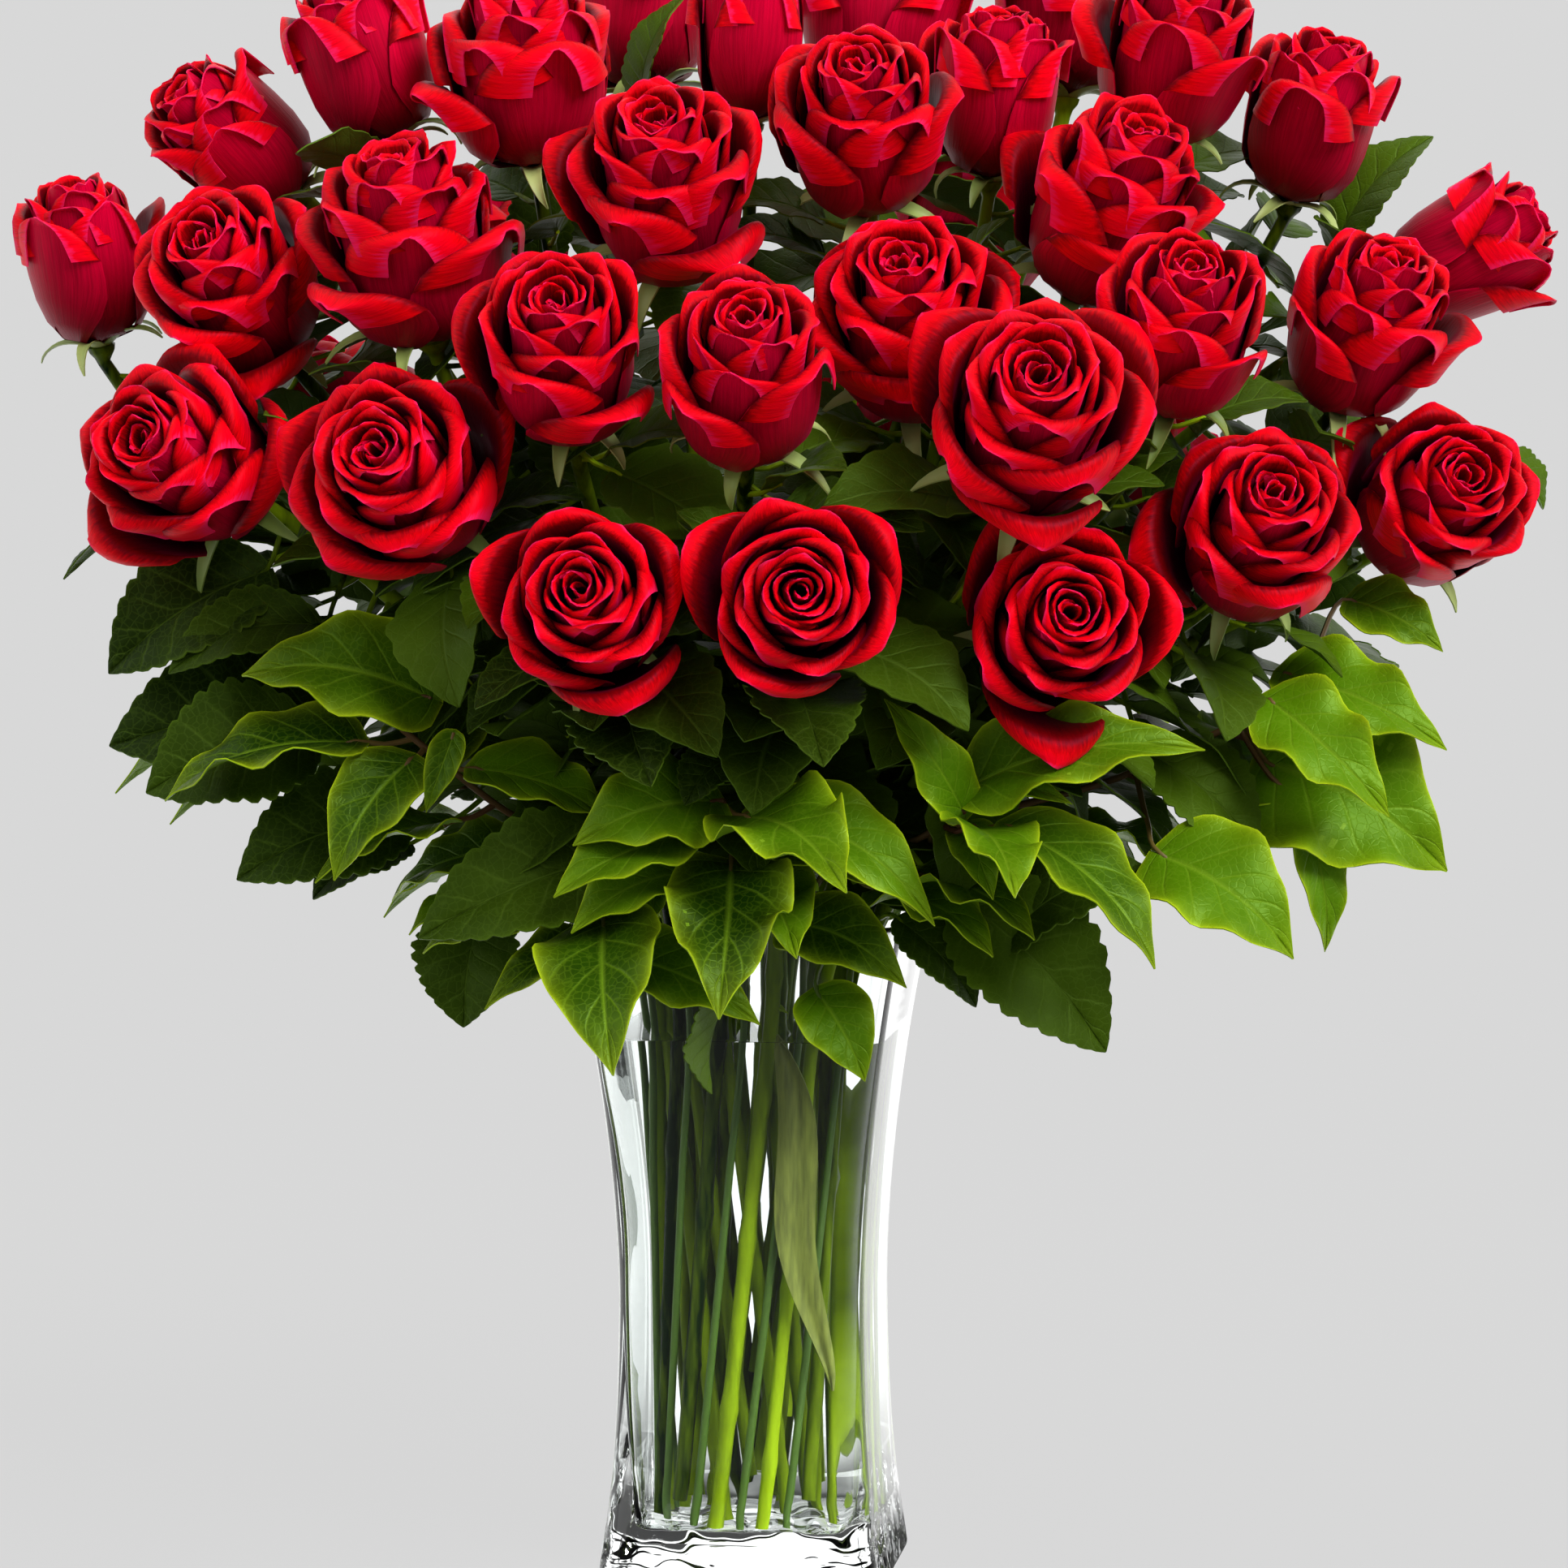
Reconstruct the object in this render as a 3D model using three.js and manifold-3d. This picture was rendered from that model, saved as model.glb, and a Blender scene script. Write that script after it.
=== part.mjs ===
// Roses in a vase: thirty-six long-stemmed roses and eight leafy sprays standing in a flared glass vase.
// Millimetres, +Z up, the origin at the middle of the vase's foot, the front facing -Y.
import * as THREE from "three";
import Module from "manifold-3d";

const { clamp, lerp } = THREE.MathUtils;
const wasm = await Module();
wasm.setup();

// Driving dimensions
const VASE_HEIGHT = 230;
const VASE_TURN = -8 * (Math.PI / 180);
const FOOT_HALF = 49; // half the side of the square foot
const WAIST_HALF = 42; // half the side at the waist
const RIM_HALF = 57; // half the side at the rim
const FLARE_START = 95; // height at which the walls begin to flare
const CORNER_RADIUS = 10;
const CORNER_STEPS = 3;
const FOOT_BEVEL = 2; // how far the foot draws in at its lower edge
const RIM_BEVEL = 1; // rounding of the rim's two edges
const RIM_WALL = 4; // thickness of the wall at the rim
const WALL_GAIN = 1.5; // how much thicker it is at the foot
const WELL_HALF = 36.5; // half the side of the well, low down
const WELL_FLARE_START = 110;
const FLOOR_TOP = 20; // top of the thick glass base
const FLOOR_ROUND = 2; // how far the well draws in at its floor
const OUTER_LEVELS = [3, 14, 30, 52, 90, 130, 165, 200]; // heights of the rings outside
const INNER_LEVELS = [23, 120, 160, 195]; // and inside
const WATER_TOP = 190;
const GAP = 0.3; // clearance between pieces that touch
const HOLE_EASE = 0.4; // a stem's hole in the water is this much wider than the stem all round
const STEM_RADIUS = 2.5;
const TWIG_RADIUS = 1.5;
const STEM_SIDES = 5;
const TWIG_SIDES = 4;
const NECK_Z = 195; // height at which the stems press together in threes
const FOOT_RINGS = [31, 22, 11]; // circles on which the outer, middle and inner stems stand
const NECK_RINGS = [33.4, 29.1, 24.8]; // the same circles where the stems press together
const RING_TURNS = [-34, 55, -70]; // how far each circle of stems twists from neck to foot, degrees
// Where the stems of each circle are cut, as shares of the way from the floor of the well up to the neck
const FOOT_SHARES = [
  [0, 0.05, 0],
  [0.05, 0, 0.1, 0.02],
  [0.2, 0.3, 0.1, 0.15],
];
const TWIG_FOOT_RING = 31.5;
const TWIG_NECK_RING = 38;
const GROUPS = 12; // stems are held in threes
const BUNCH_MIDDLE = -20; // y of the point about which the heads are shared out round the vase
const GROUP_TURN = 40; // turn of the first group from +X, degrees
const JOIN_TOLERANCE = 0.05; // joined surfaces may shift by this much as short edges close
const STEM_LEAN = 0.1; // how far a stem leans out as it leaves the neck
const NECK_HANDLE = 0.4; // how long it keeps that direction, in spans from neck to hip
const HIP_HANDLE = 0.2; // and how long it keeps its head's direction before the hip
const SEPAL_REACH = 0.66; // in head radii
const SEPAL_DROOP = 2; // least fall of a sepal's tip
const SEPAL_VARIETY = 8; // how much further some fall
const BLADE = 1.2; // thickness of a leaf at its midrib
const FOLD = 0.2; // rise of a leaf's halves from its midrib
const WAVE = 0.07; // wave of its edges, in leaf widths
const STALK = 16; // stalk of a leaf that grows by the rule
const STALK_RADIUS = 0.8; // where it leaves the stem
const STALK_SINK = 0.03; // how far its root lies within the stem, in stalk lengths
const ROOT_LOWEST = VASE_HEIGHT + 6; // no leaf grows from a stem below this
const ROOT_SPACING = 2.7; // least distance between the roots of two leaves
const LEAF_CLEARANCE = 10; // a leaf that grows by the rule keeps this far from other leaves,
const STEM_CLEARANCE = 9; // this far from stems,
const BLOOM_CLEARANCE = 3; // this far from heads,
const VASE_CLEARANCE = 4; // this far above the rim
const VASE_BERTH = 78; // or this far from the vase's axis
const SAMPLE_STEP = 6; // spacing of the points by which a line is kept clear
const SMALL_LEAF = 24; // width up to which a placed leaf has the plainer outline
const LARGE_SHAPE = [[0.16, 0.8], [0.36, 1], [0.58, 0.82], [0.8, 0.48]]; // share along, half width
const SMALL_SHAPE = [[0.2, 0.88], [0.48, 0.95], [0.78, 0.55]];

// Rose heads: middle x, y, z, width, then the direction that each one faces
const HEADS = [
  [-230, 5, 453, 52, -0.15, -0.25, 1],
  [-178, 0, 495, 54, -0.7, -0.5, 0.6],
  [-132, -20, 520, 54, -0.35, -0.1, 1],
  [-175, -40, 443, 67, -0.35, -0.9, 0.6],
  [-113, -70, 458, 71, -0.2, -0.45, 1],
  [-76, -45, 516, 67, -0.1, -0.35, 1],
  [-188, -65, 388, 68, -0.45, -0.9, 0.3],
  [-113, -115, 381, 72, -0.25, -1, 0.35],
  [-60, -130, 421, 62, -0.05, -0.9, 0.7],
  [-29, -95, 476, 68, -0.1, -0.8, 0.8],
  [-1, -45, 524, 45, 0, -0.15, 1],
  [36, -80, 495, 62, -0.1, -0.8, 0.8],
  [-3, -145, 413, 59, 0, -0.8, 0.8],
  [50, -95, 432, 70, -0.1, -0.85, 0.7],
  [88, -150, 398, 75, 0.05, -1, 0.55],
  [-51, -150, 341, 63, -0.1, -1, 0.25],
  [15, -165, 344, 65, 0, -1, 0.12],
  [98, -128, 336, 67, 0.1, -1, 0.2],
  [81, -35, 508, 52, 0.05, -0.3, 1],
  [41, 30, 541, 60, 0.05, 0.1, 1],
  [142, -30, 520, 59, 0.15, -0.5, 1],
  [188, -10, 502, 54, 0.25, -0.3, 1],
  [119, -60, 472, 70, 0.35, -0.6, 0.9],
  [138, -105, 429, 58, 0.1, -0.7, 0.8],
  [204, -50, 430, 61, 0.25, -0.6, 0.8],
  [244, 0, 457, 54, 1, -0.3, 0.6],
  [164, -95, 363, 66, 0.15, -0.9, 0.5],
  [228, -42, 371, 63, 0.3, -0.9, 0.4],
  [111, 35, 543, 60, 0.1, 0, 1],
  [-40, 35, 544, 60, -0.1, 0.1, 1],
  [-148, 72, 396, 68, -0.7, 0.6, 0.6],
  [-62, 112, 360, 72, -0.3, 1, 0.25],
  [38, 122, 392, 64, 0.1, 1, 0.7],
  [140, 84, 372, 70, 0.7, 0.7, 0.3],
  [-96, 80, 452, 62, -0.4, 0.7, 0.8],
  [74, 86, 466, 68, 0.35, 0.6, 1],
];
const SETTLE_PASSES = 60;
const HEAD_CLEARANCE = 1.5;
const HEAD_BERTH = 9; // how far a stem's line keeps from the heads that it passes
const TWIG_BERTH = 5; // and how far a twig's keeps
const STEM_STEPS = [0.3, 0.6, 0.85]; // shares of the way up at which a stem's line has its points
const CLOSED_WIDTH = 46; // width of a head that has hardly opened
const OPEN_WIDTH = 70; // and of one that is fully open
const CLOSED_DEPTH = 1.5; // from the middle of a cup down to its hip, in head radii, where it is closed
const OPEN_DEPTH = 1.15; // and where it is open
const LIP_RISE = 0.8; // from the middle of a cup up to its lips, in head radii
const HEEL = 0.5; // radius of the round space that a cup's lower end keeps free, in head radii
const HIP_LENGTH = 6;
const HIP_RADIUS = 3.6;
const BLOOM_SIDES = 12; // points round a whorl of petals
const HEART_DEPTH = 0.5; // height of the hollow in the middle of a head, in head radii
const TURN_STEP = 0.618; // each head is turned on from the one before by this share of a whorl

// Whorls of a head from its hip inwards: petals, reach and height in head radii, swell of a petal from
// one edge to the other, and the share of a petal by which the whorl is turned. The lowest one's height is
// a share of the head's depth.
const WHORLS = [
  [4, 0.64, -0.68, 0.05, 0],
  [4, 0.88, -0.08, 0.14, 0],
  [4, 0.9, 0.2, 0.18, 0],
  [4, 0.68, 0.06, 0, 0],
  [4, 0.72, 0.52, 0.16, 0.5],
  [4, 0.45, 0.4, 0, 0.5],
  [3, 0.44, 0.76, 0.14, 0.2],
];

// Sprays: for each, the middle and the tip of its twig beyond the rim, x, y, z
const RIM_CROSSING = [48, 242]; // distance from the axis and height at which a twig passes over the rim
const SPRAYS = [
  [[-86, -66, 272], [-116, -80, 298]],
  [[-44, -72, 252], [-50, -84, 246]],
  [[-4, -86, 258], [-10, -104, 276]],
  [[58, -84, 264], [72, -104, 278]],
  [[128, -48, 282], [176, -52, 305]],
  [[92, 96, 276], [124, 126, 292]],
  [[10, 98, 280], [22, 120, 300]],
  [[-116, 36, 276], [-150, 60, 292]],
];

// Placed leaves: base x, y, z, tip x, y, z, width, roll in degrees, arch
const SPRAY_LEAVES = [
  [-107, -75, 308, -169, -75, 317, 44, 50, 0.12],
  [-113, -85, 288, -137, -105, 251, 30, 40, 0.1],
  [-98, -95, 297, -107, -100, 272, 12, 60, 0.1],
  [-12, -105, 276, -58, -120, 264, 40, 50, 0.15],
  [-32, -80, 250, -33, -90, 235, 12, 20, 0.1],
  [1, -105, 272, 59, -125, 239, 34, 45, 0.15],
  [0, -90, 261, 53, -105, 242, 22, 40, 0.15],
  [-46, -75, 224, -88, -95, 208, 22, 50, 0.2],
  [-43, -80, 222, 2, -95, 203, 30, 50, 0.15],
  [12, -75, 233, 50, -95, 215, 30, 55, 0.15],
  [21, -75, 210, 37, -85, 182, 26, 60, 0.1],
  [68, -115, 273, 43, -120, 310, 20, 60, 0.2],
  [70, -110, 281, 144, -128, 296, 34, 50, 0.14],
  [70, -95, 276, 102, -120, 277, 18, 60, 0.2],
  [70, -90, 267, 78, -110, 245, 18, 40, 0.1],
  [172, -50, 285, 232, -60, 250, 60, 68, 0.12],
  [171, -70, 307, 209, -90, 271, 34, 50, 0.12],
  [178, -50, 315, 230, -70, 292, 34, 50, 0.12],
  [201, -40, 339, 231, -50, 323, 26, 50, 0.12],
  [184, -60, 269, 192, -60, 222, 20, 20, 0.1],
  [134, -86, 257, 177, -100, 225, 44, 50, 0.15],
];
const ROSE_LEAVES = [
  [-165, -30, 349, -218, -40, 315, 46, 55, 0.12],
  [-146, -44, 331, -196, -54, 316, 34, 40, 0.12],
  [-150, -20, 303, -219, -30, 290, 52, 60, 0.12],
  [-148, -50, 293, -203, -60, 276, 48, 60, 0.12],
  [-117, -50, 266, -173, -60, 247, 44, 55, 0.12],
  [-117, -35, 256, -149, -45, 239, 30, 30, 0.12],
  [-41, -85, 258, -110, -95, 231, 44, 55, 0.12],
  [-92, -60, 234, -97, -70, 198, 38, 10, 0.1],
  [-7, -85, 214, -15, -80, 177, 38, 5, 0.1],
  [-7, -110, 291, -22, -120, 276, 22, 30, 0.1],
  [130, -64, 290, 168, -70, 256, 38, 40, 0.12],
  [83, -70, 227, 131, -80, 252, 36, 40, 0.12],
  [70, -66, 240, 117, -78, 191, 48, 62, 0.12],
  [48, -70, 234, 74, -78, 206, 26, 30, 0.12],
  [258, 10, 388, 273, 10, 369, 24, 20, 0.1],
  [201, 20, 461, 234, 20, 498, 30, 30, 0.1],
  [167, 20, 416, 178, 10, 477, 34, 10, 0.1],
  [-39, -10, 506, -24, -10, 544, 26, 10, 0.1],
  [-148, -58, 385, -160, -82, 402, 20, 30, 0.1],
  [-74, 0, 452, -76, 0, 488, 24, 10, 0.1],
  [68, -40, 440, 84, -50, 467, 22, 20, 0.1],
  [-39, -110, 365, -16, -120, 349, 26, 30, 0.1],
];

const MATERIALS = {
  glass: { color: 0xe8f0f0, roughness: 0.03, metalness: 0 },
  water: { color: 0xd8e8e4, roughness: 0.02, metalness: 0 },
  petal: { color: 0xa8000f, roughness: 0.55, metalness: 0 },
  rose_green: { color: 0x2f4a1d, roughness: 0.6, metalness: 0 },
  spray_green: { color: 0x5c8a1f, roughness: 0.4, metalness: 0 },
};
const UP = new THREE.Vector3(0, 0, 1);
const vec = (x, y, z) => new THREE.Vector3(x, y, z);
const radians = (degrees) => (degrees * Math.PI) / 180;
const onCircle = (radius, angle, z) => vec(radius * Math.cos(angle), radius * Math.sin(angle), z);

const part = new THREE.Group();
part.name = "roses_in_a_vase";

function addNode(name, solid, material) {
  const { vertProperties, triVerts } = solid.getMesh();
  const geometry = new THREE.BufferGeometry();
  geometry.setAttribute("position", new THREE.BufferAttribute(vertProperties, 3));
  geometry.setIndex(new THREE.BufferAttribute(triVerts, 1));
  geometry.computeVertexNormals();
  const mesh = new THREE.Mesh(geometry, new THREE.MeshStandardMaterial(MATERIALS[material]));
  mesh.name = name;
  part.add(mesh);
}

// A closed solid through rings of points that turn anticlockwise seen from the last ring. A pole closes an
// end to a point, and without one the end is a flat fan. From quad number `alike` on, quads are split the
// other way. The quads above ring number `spiked` are each drawn out to a spike.
function loft(rings, { startPole, endPole, alike = Infinity, spiked, spikes } = {}) {
  const sides = rings[0].length;
  const points = rings.flat();
  const faces = [];
  for (let ring = 0; ring + 1 < rings.length; ring++) {
    for (let k = 0; k < sides; k++) {
      const a = ring * sides + k;
      const b = ring * sides + ((k + 1) % sides);
      const c = b + sides;
      const d = a + sides;
      if (ring === spiked) {
        const tip = points.push(spikes[k]) - 1;
        faces.push(a, b, tip, b, c, tip, c, d, tip, d, a, tip);
      } else if (k < alike) {
        faces.push(a, b, c, a, c, d);
      } else {
        faces.push(a, b, d, b, c, d);
      }
    }
  }
  const last = (rings.length - 1) * sides;
  if (startPole) {
    const pole = points.push(startPole) - 1;
    for (let k = 0; k < sides; k++) faces.push(pole, (k + 1) % sides, k);
  } else {
    for (let k = 1; k + 1 < sides; k++) faces.push(0, k + 1, k);
  }
  if (endPole) {
    const pole = points.push(endPole) - 1;
    for (let k = 0; k < sides; k++) faces.push(pole, last + k, last + ((k + 1) % sides));
  } else {
    for (let k = 1; k + 1 < sides; k++) faces.push(last, last + k, last + k + 1);
  }
  return solidFrom(points, faces);
}

function solidFrom(points, faces) {
  const vertProperties = new Float32Array(points.flatMap((p) => [p.x, p.y, p.z]));
  return new wasm.Manifold(
    new wasm.Mesh({ numProp: 3, vertProperties, triVerts: new Uint32Array(faces) }),
  );
}

// Joins solids and keeps the largest body, so that no loose scrap stays.
function fuse(solids) {
  const joined = solids.reduce((all, next) => all.add(next)).simplify(JOIN_TOLERANCE);
  const bodies = joined.decompose();
  return bodies.reduce((best, body) => (body.volume() > best.volume() ? body : best));
}

// Vase and water

// Half the side of the vase's square section: the foot draws in to the waist, and the walls flare to the
// rim.
function outerHalf(z) {
  const foot = (FOOT_HALF - WAIST_HALF) * Math.exp(-Math.pow(z / 38, 1.3));
  const flared = Math.max(z - FLARE_START, 0) / (VASE_HEIGHT - FLARE_START);
  return WAIST_HALF + foot + (RIM_HALF - WAIST_HALF) * Math.pow(flared, 1.8);
}

// Half the side of the well: nearly straight below, a thinner wall towards the rim.
function innerHalf(z) {
  const wall = RIM_WALL + WALL_GAIN * (1 - z / VASE_HEIGHT);
  const straight = WELL_HALF + z / 120;
  const flare = 0.0025 * Math.pow(Math.max(z - WELL_FLARE_START, 0), 1.85);
  return Math.min(outerHalf(z) - wall, straight + flare);
}

// A square with rounded corners, turned as the vase stands.
function squareRing(half, corner, z) {
  const ring = [];
  for (let quarter = 0; quarter < 4; quarter++) {
    const middle = onCircle((half - corner) * Math.SQRT2, radians(45 + 90 * quarter), z);
    for (let step = 0; step <= CORNER_STEPS; step++) {
      const angle = radians(90 * quarter + (90 * step) / CORNER_STEPS);
      ring.push(middle.clone().add(onCircle(corner, angle, 0)).applyAxisAngle(UP, VASE_TURN));
    }
  }
  return ring;
}

const wellRing = (z, gap = 0) => squareRing(innerHalf(z) - gap, CORNER_RADIUS - 2, z);
const wellFloor = (gap) =>
  squareRing(innerHalf(FLOOR_TOP) - FLOOR_ROUND - gap, CORNER_RADIUS - 4, FLOOR_TOP + gap);

function vase() {
  const top = VASE_HEIGHT;
  return loft([
    squareRing(FOOT_HALF - FOOT_BEVEL, CORNER_RADIUS, 0),
    ...[...OUTER_LEVELS, top - RIM_BEVEL].map((z) => squareRing(outerHalf(z), CORNER_RADIUS, z)),
    squareRing(outerHalf(top) - RIM_BEVEL, CORNER_RADIUS, top),
    squareRing(innerHalf(top) + RIM_BEVEL, CORNER_RADIUS - 2, top),
    wellRing(top - RIM_BEVEL),
    ...[...INNER_LEVELS].reverse().map((z) => wellRing(z)),
    wellFloor(0),
  ]);
}

function water(holes) {
  const levels = [...INNER_LEVELS.filter((z) => z < WATER_TOP), WATER_TOP];
  const filled = loft([wellFloor(GAP), ...levels.map((z) => wellRing(z, GAP))]);
  return fuse([filled.subtract(holes.reduce((all, next) => all.add(next)))]);
}

// Rose heads

// Heads that meet press each other apart along the line between them, mostly forwards and back.
function settledHeads() {
  const heads = HEADS.map(([x, y, z, width, ax, ay, az]) => {
    const radius = width / 2;
    const axis = vec(ax, ay, az).normalize();
    const opened = clamp((width - CLOSED_WIDTH) / (OPEN_WIDTH - CLOSED_WIDTH), 0, 1);
    const depth = lerp(CLOSED_DEPTH, OPEN_DEPTH, opened);
    const centre = vec(x, y, z).addScaledVector(axis, ((depth - LIP_RISE) / 2) * radius);
    return { centre, radius, axis, depth };
  });
  const yielding = [0.35, 1, 0.35];
  for (let pass = 0; pass < SETTLE_PASSES; pass++) {
    for (let i = 0; i < heads.length; i++) {
      for (let j = i + 1; j < heads.length; j++) {
        const apart = heads[j].centre.clone().sub(heads[i].centre);
        const short = heads[i].radius + heads[j].radius + HEAD_CLEARANCE - apart.length();
        if (short <= 0) continue;
        const push = apart.normalize().multiplyScalar(short / 2);
        push.set(push.x * yielding[0], push.y * yielding[1], push.z * yielding[2]);
        heads[i].centre.sub(push);
        heads[j].centre.add(push);
      }
    }
  }
  return heads;
}

// Two unit vectors square to a direction, the first as near to +X as it can be.
function sideways(direction) {
  const first = vec(1, 0, 0).addScaledVector(direction, -direction.x).normalize();
  return [first, direction.clone().cross(first)];
}

// A ring round a point, square to a direction. The radius may be a function of the angle.
function ringAround(centre, direction, radius, sides, lift = () => 0) {
  const [first, second] = sideways(direction);
  const ring = [];
  for (let k = 0; k < sides; k++) {
    const angle = (2 * Math.PI * k) / sides;
    const reach = typeof radius === "function" ? radius(angle) : radius;
    ring.push(
      centre
        .clone()
        .addScaledVector(first, reach * Math.cos(angle))
        .addScaledVector(second, reach * Math.sin(angle))
        .addScaledVector(direction, lift(angle)),
    );
  }
  return ring;
}

// One head: whorls of petals raised from it as lips with a groove inside each. Round a whorl every petal
// swells from under its neighbour to its own free edge, so that the petals overlap like a pinwheel.
function bloom({ centre, axis, radius, depth }, turn) {
  const whorl = ([petals, reach, share, swell, start], index) => {
    const height = index ? share : share * depth;
    const phase = (angle) => ((((angle * petals) / (2 * Math.PI) + start + turn) % 1) + 1) % 1;
    return ringAround(
      centre,
      axis,
      (angle) => radius * (reach + swell * (phase(angle) - 0.5)),
      BLOOM_SIDES,
      (angle) => radius * (height + 0.5 * swell * Math.sin(Math.PI * phase(angle))),
    );
  };
  return loft(WHORLS.map(whorl), {
    startPole: centre.clone().addScaledVector(axis, -depth * radius),
    endPole: centre.clone().addScaledVector(axis, HEART_DEPTH * radius),
  });
}

// Stems

const bezier = (a, b, c, d, t) =>
  vec(0, 0, 0)
    .addScaledVector(a, (1 - t) ** 3)
    .addScaledVector(b, 3 * t * (1 - t) ** 2)
    .addScaledVector(c, 3 * t * t * (1 - t))
    .addScaledVector(d, t ** 3);

// The round spaces that the heads keep free: one for each cup and a smaller one for its lower end.
function spacesOf(heads) {
  return heads.flatMap((head) => {
    const { centre, radius, axis, depth } = head;
    const heel = centre.clone().addScaledVector(axis, (HEEL - depth) * radius);
    return [
      { head, centre, radius },
      { head, centre: heel, radius: HEEL * radius },
    ];
  });
}

// Moves a point out of every space that it is too near to.
function clearOf(point, spaces, margin, own) {
  for (let pass = 0; pass < 6; pass++) {
    for (const { head, centre, radius } of spaces) {
      if (head === own) continue;
      const away = point.clone().sub(centre);
      const short = radius + margin - away.length();
      if (short > 0) point.addScaledVector(away.normalize(), short);
    }
  }
  return point;
}

// Groups of three heads that stand next to each other round the vase, lowest and outermost first.
function groupsOf(heads) {
  const bearing = ({ centre: { x, y } }) =>
    (Math.atan2(y - BUNCH_MIDDLE, x) + 2 * Math.PI) % (2 * Math.PI);
  const rise = ({ centre }) => (centre.z - NECK_Z) / Math.hypot(centre.x, centre.y);
  const sorted = [...heads].sort((a, b) => bearing(a) - bearing(b));
  const groups = [];
  for (let k = 0; k < GROUPS; k++) {
    groups.push(sorted.slice(3 * k, 3 * k + 3).sort((a, b) => rise(a) - rise(b)));
  }
  return groups;
}

// The line of one stem: straight in the water, then curving from the neck up to the back of its head.
function stemLine(head, spaces, group, circle) {
  const neckAngle = radians(GROUP_TURN + (360 / GROUPS) * group);
  const footAngle = neckAngle + radians(RING_TURNS[circle]);
  const neck = onCircle(NECK_RINGS[circle], neckAngle, NECK_Z);
  const cut = FOOT_SHARES[circle][group % FOOT_SHARES[circle].length];
  const foot = onCircle(FOOT_RINGS[circle], footAngle, FLOOR_TOP + GAP).lerp(neck, cut);
  const hip = head.centre.clone().addScaledVector(head.axis, -head.depth * head.radius - GAP);
  const span = hip.distanceTo(neck);
  const leave = onCircle(STEM_LEAN, neckAngle, 1).normalize();
  const a = neck.clone().addScaledVector(leave, NECK_HANDLE * span);
  const b = hip.clone().addScaledVector(head.axis, -HIP_HANDLE * span);
  const curve = STEM_STEPS.map((t) => clearOf(bezier(neck, a, b, hip, t), spaces, HEAD_BERTH, head));
  return { foot, neck, curve, hip };
}

function tangents(points) {
  return points.map((point, i) =>
    points[Math.min(i + 1, points.length - 1)]
      .clone()
      .sub(points[Math.max(i - 1, 0)])
      .normalize(),
  );
}

// Rings along a line: its foot and the ring at its neck lie level.
function ringsAlong(points, radii, sides) {
  const along = tangents(points);
  return points.map((point, i) => ringAround(point, i < 2 ? UP : along[i], radii[i], sides));
}

// A twig tapers towards its tip.
function twig({ foot, neck, curve }) {
  const radii = [1, 1, 1, 0.9, 0.8].map((share) => share * TWIG_RADIUS);
  return loft(ringsAlong([foot, neck, ...curve], radii, TWIG_SIDES));
}

// A stem with its hip: each side of the hip is drawn out into a pointed sepal.
function stem({ foot, neck, curve, hip, head }) {
  const points = [foot, neck, ...curve, hip];
  const rings = ringsAlong(points, Array(points.length).fill(STEM_RADIUS), STEM_SIDES).slice(0, -1);
  const low = hip.clone().addScaledVector(head.axis, -HIP_LENGTH);
  rings.push(ringAround(low, head.axis, HIP_RADIUS, STEM_SIDES));
  rings.push(ringAround(hip, head.axis, 0.16 * head.radius + 1, STEM_SIDES));
  const [first, second] = sideways(head.axis);
  const spikes = rings[0].map((_, k) => {
    const angle = ((k + 0.5) * 2 * Math.PI) / STEM_SIDES;
    const fall = SEPAL_DROOP + SEPAL_VARIETY * ((k * 0.37) % 1);
    return low
      .clone()
      .addScaledVector(first, SEPAL_REACH * head.radius * Math.cos(angle))
      .addScaledVector(second, SEPAL_REACH * head.radius * Math.sin(angle))
      .addScaledVector(head.axis, -fall);
  });
  return loft(rings, { spiked: rings.length - 2, spikes });
}

// Leaves

// A leaf lies between its base and its tip. Its midrib arches up between them, and its upper face looks the
// way that `face` says, as nearly as its run lets it.
function leafFrame({ base, tip, face }) {
  const run = tip.clone().sub(base);
  const ahead = run.clone().normalize();
  const top = face.clone().addScaledVector(ahead, -face.dot(ahead)).normalize();
  return { run, top, across: ahead.clone().cross(top) };
}

// The point of a leaf a share `t` along its midrib and `side` half widths to the right.
function leafPoint(spot, { run, top, across }, t, side) {
  const half = (side * spot.width) / 2;
  return spot.base
    .clone()
    .addScaledVector(run, t)
    .addScaledVector(top, 4 * spot.arch * run.length() * t * (1 - t) + FOLD * Math.abs(half))
    .addScaledVector(across, half);
}

// One leaf with its stalk as a single four-sided loft: left edge, upper midrib, right edge, lower midrib. The
// two halves fold up from the midrib, and their edges wave.
function leaf(spot, host) {
  const frame = leafFrame(spot);
  const { across, top } = frame;
  const stalk = (point, radius) => [
    point.clone().addScaledVector(across, -radius),
    point.clone().addScaledVector(top, radius),
    point.clone().addScaledVector(across, radius),
    point.clone().addScaledVector(top, -radius),
  ];
  const root = host.clone().lerp(spot.base, -STALK_SINK);
  const rings = [stalk(root, STALK_RADIUS), stalk(spot.base, 1)];
  spot.shape.forEach(([t, reach], i) => {
    const middle = leafPoint(spot, frame, t, 0);
    const wave = (i % 2 ? 1 : -1) * WAVE * spot.width;
    rings.push([
      leafPoint(spot, frame, t, -reach).addScaledVector(top, wave),
      middle.clone().addScaledVector(top, BLADE / 2),
      leafPoint(spot, frame, t, reach).addScaledVector(top, -wave),
      middle.clone().addScaledVector(top, -BLADE / 2),
    ]);
  });
  return loft(rings, { endPole: spot.tip, alike: 2 });
}

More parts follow.
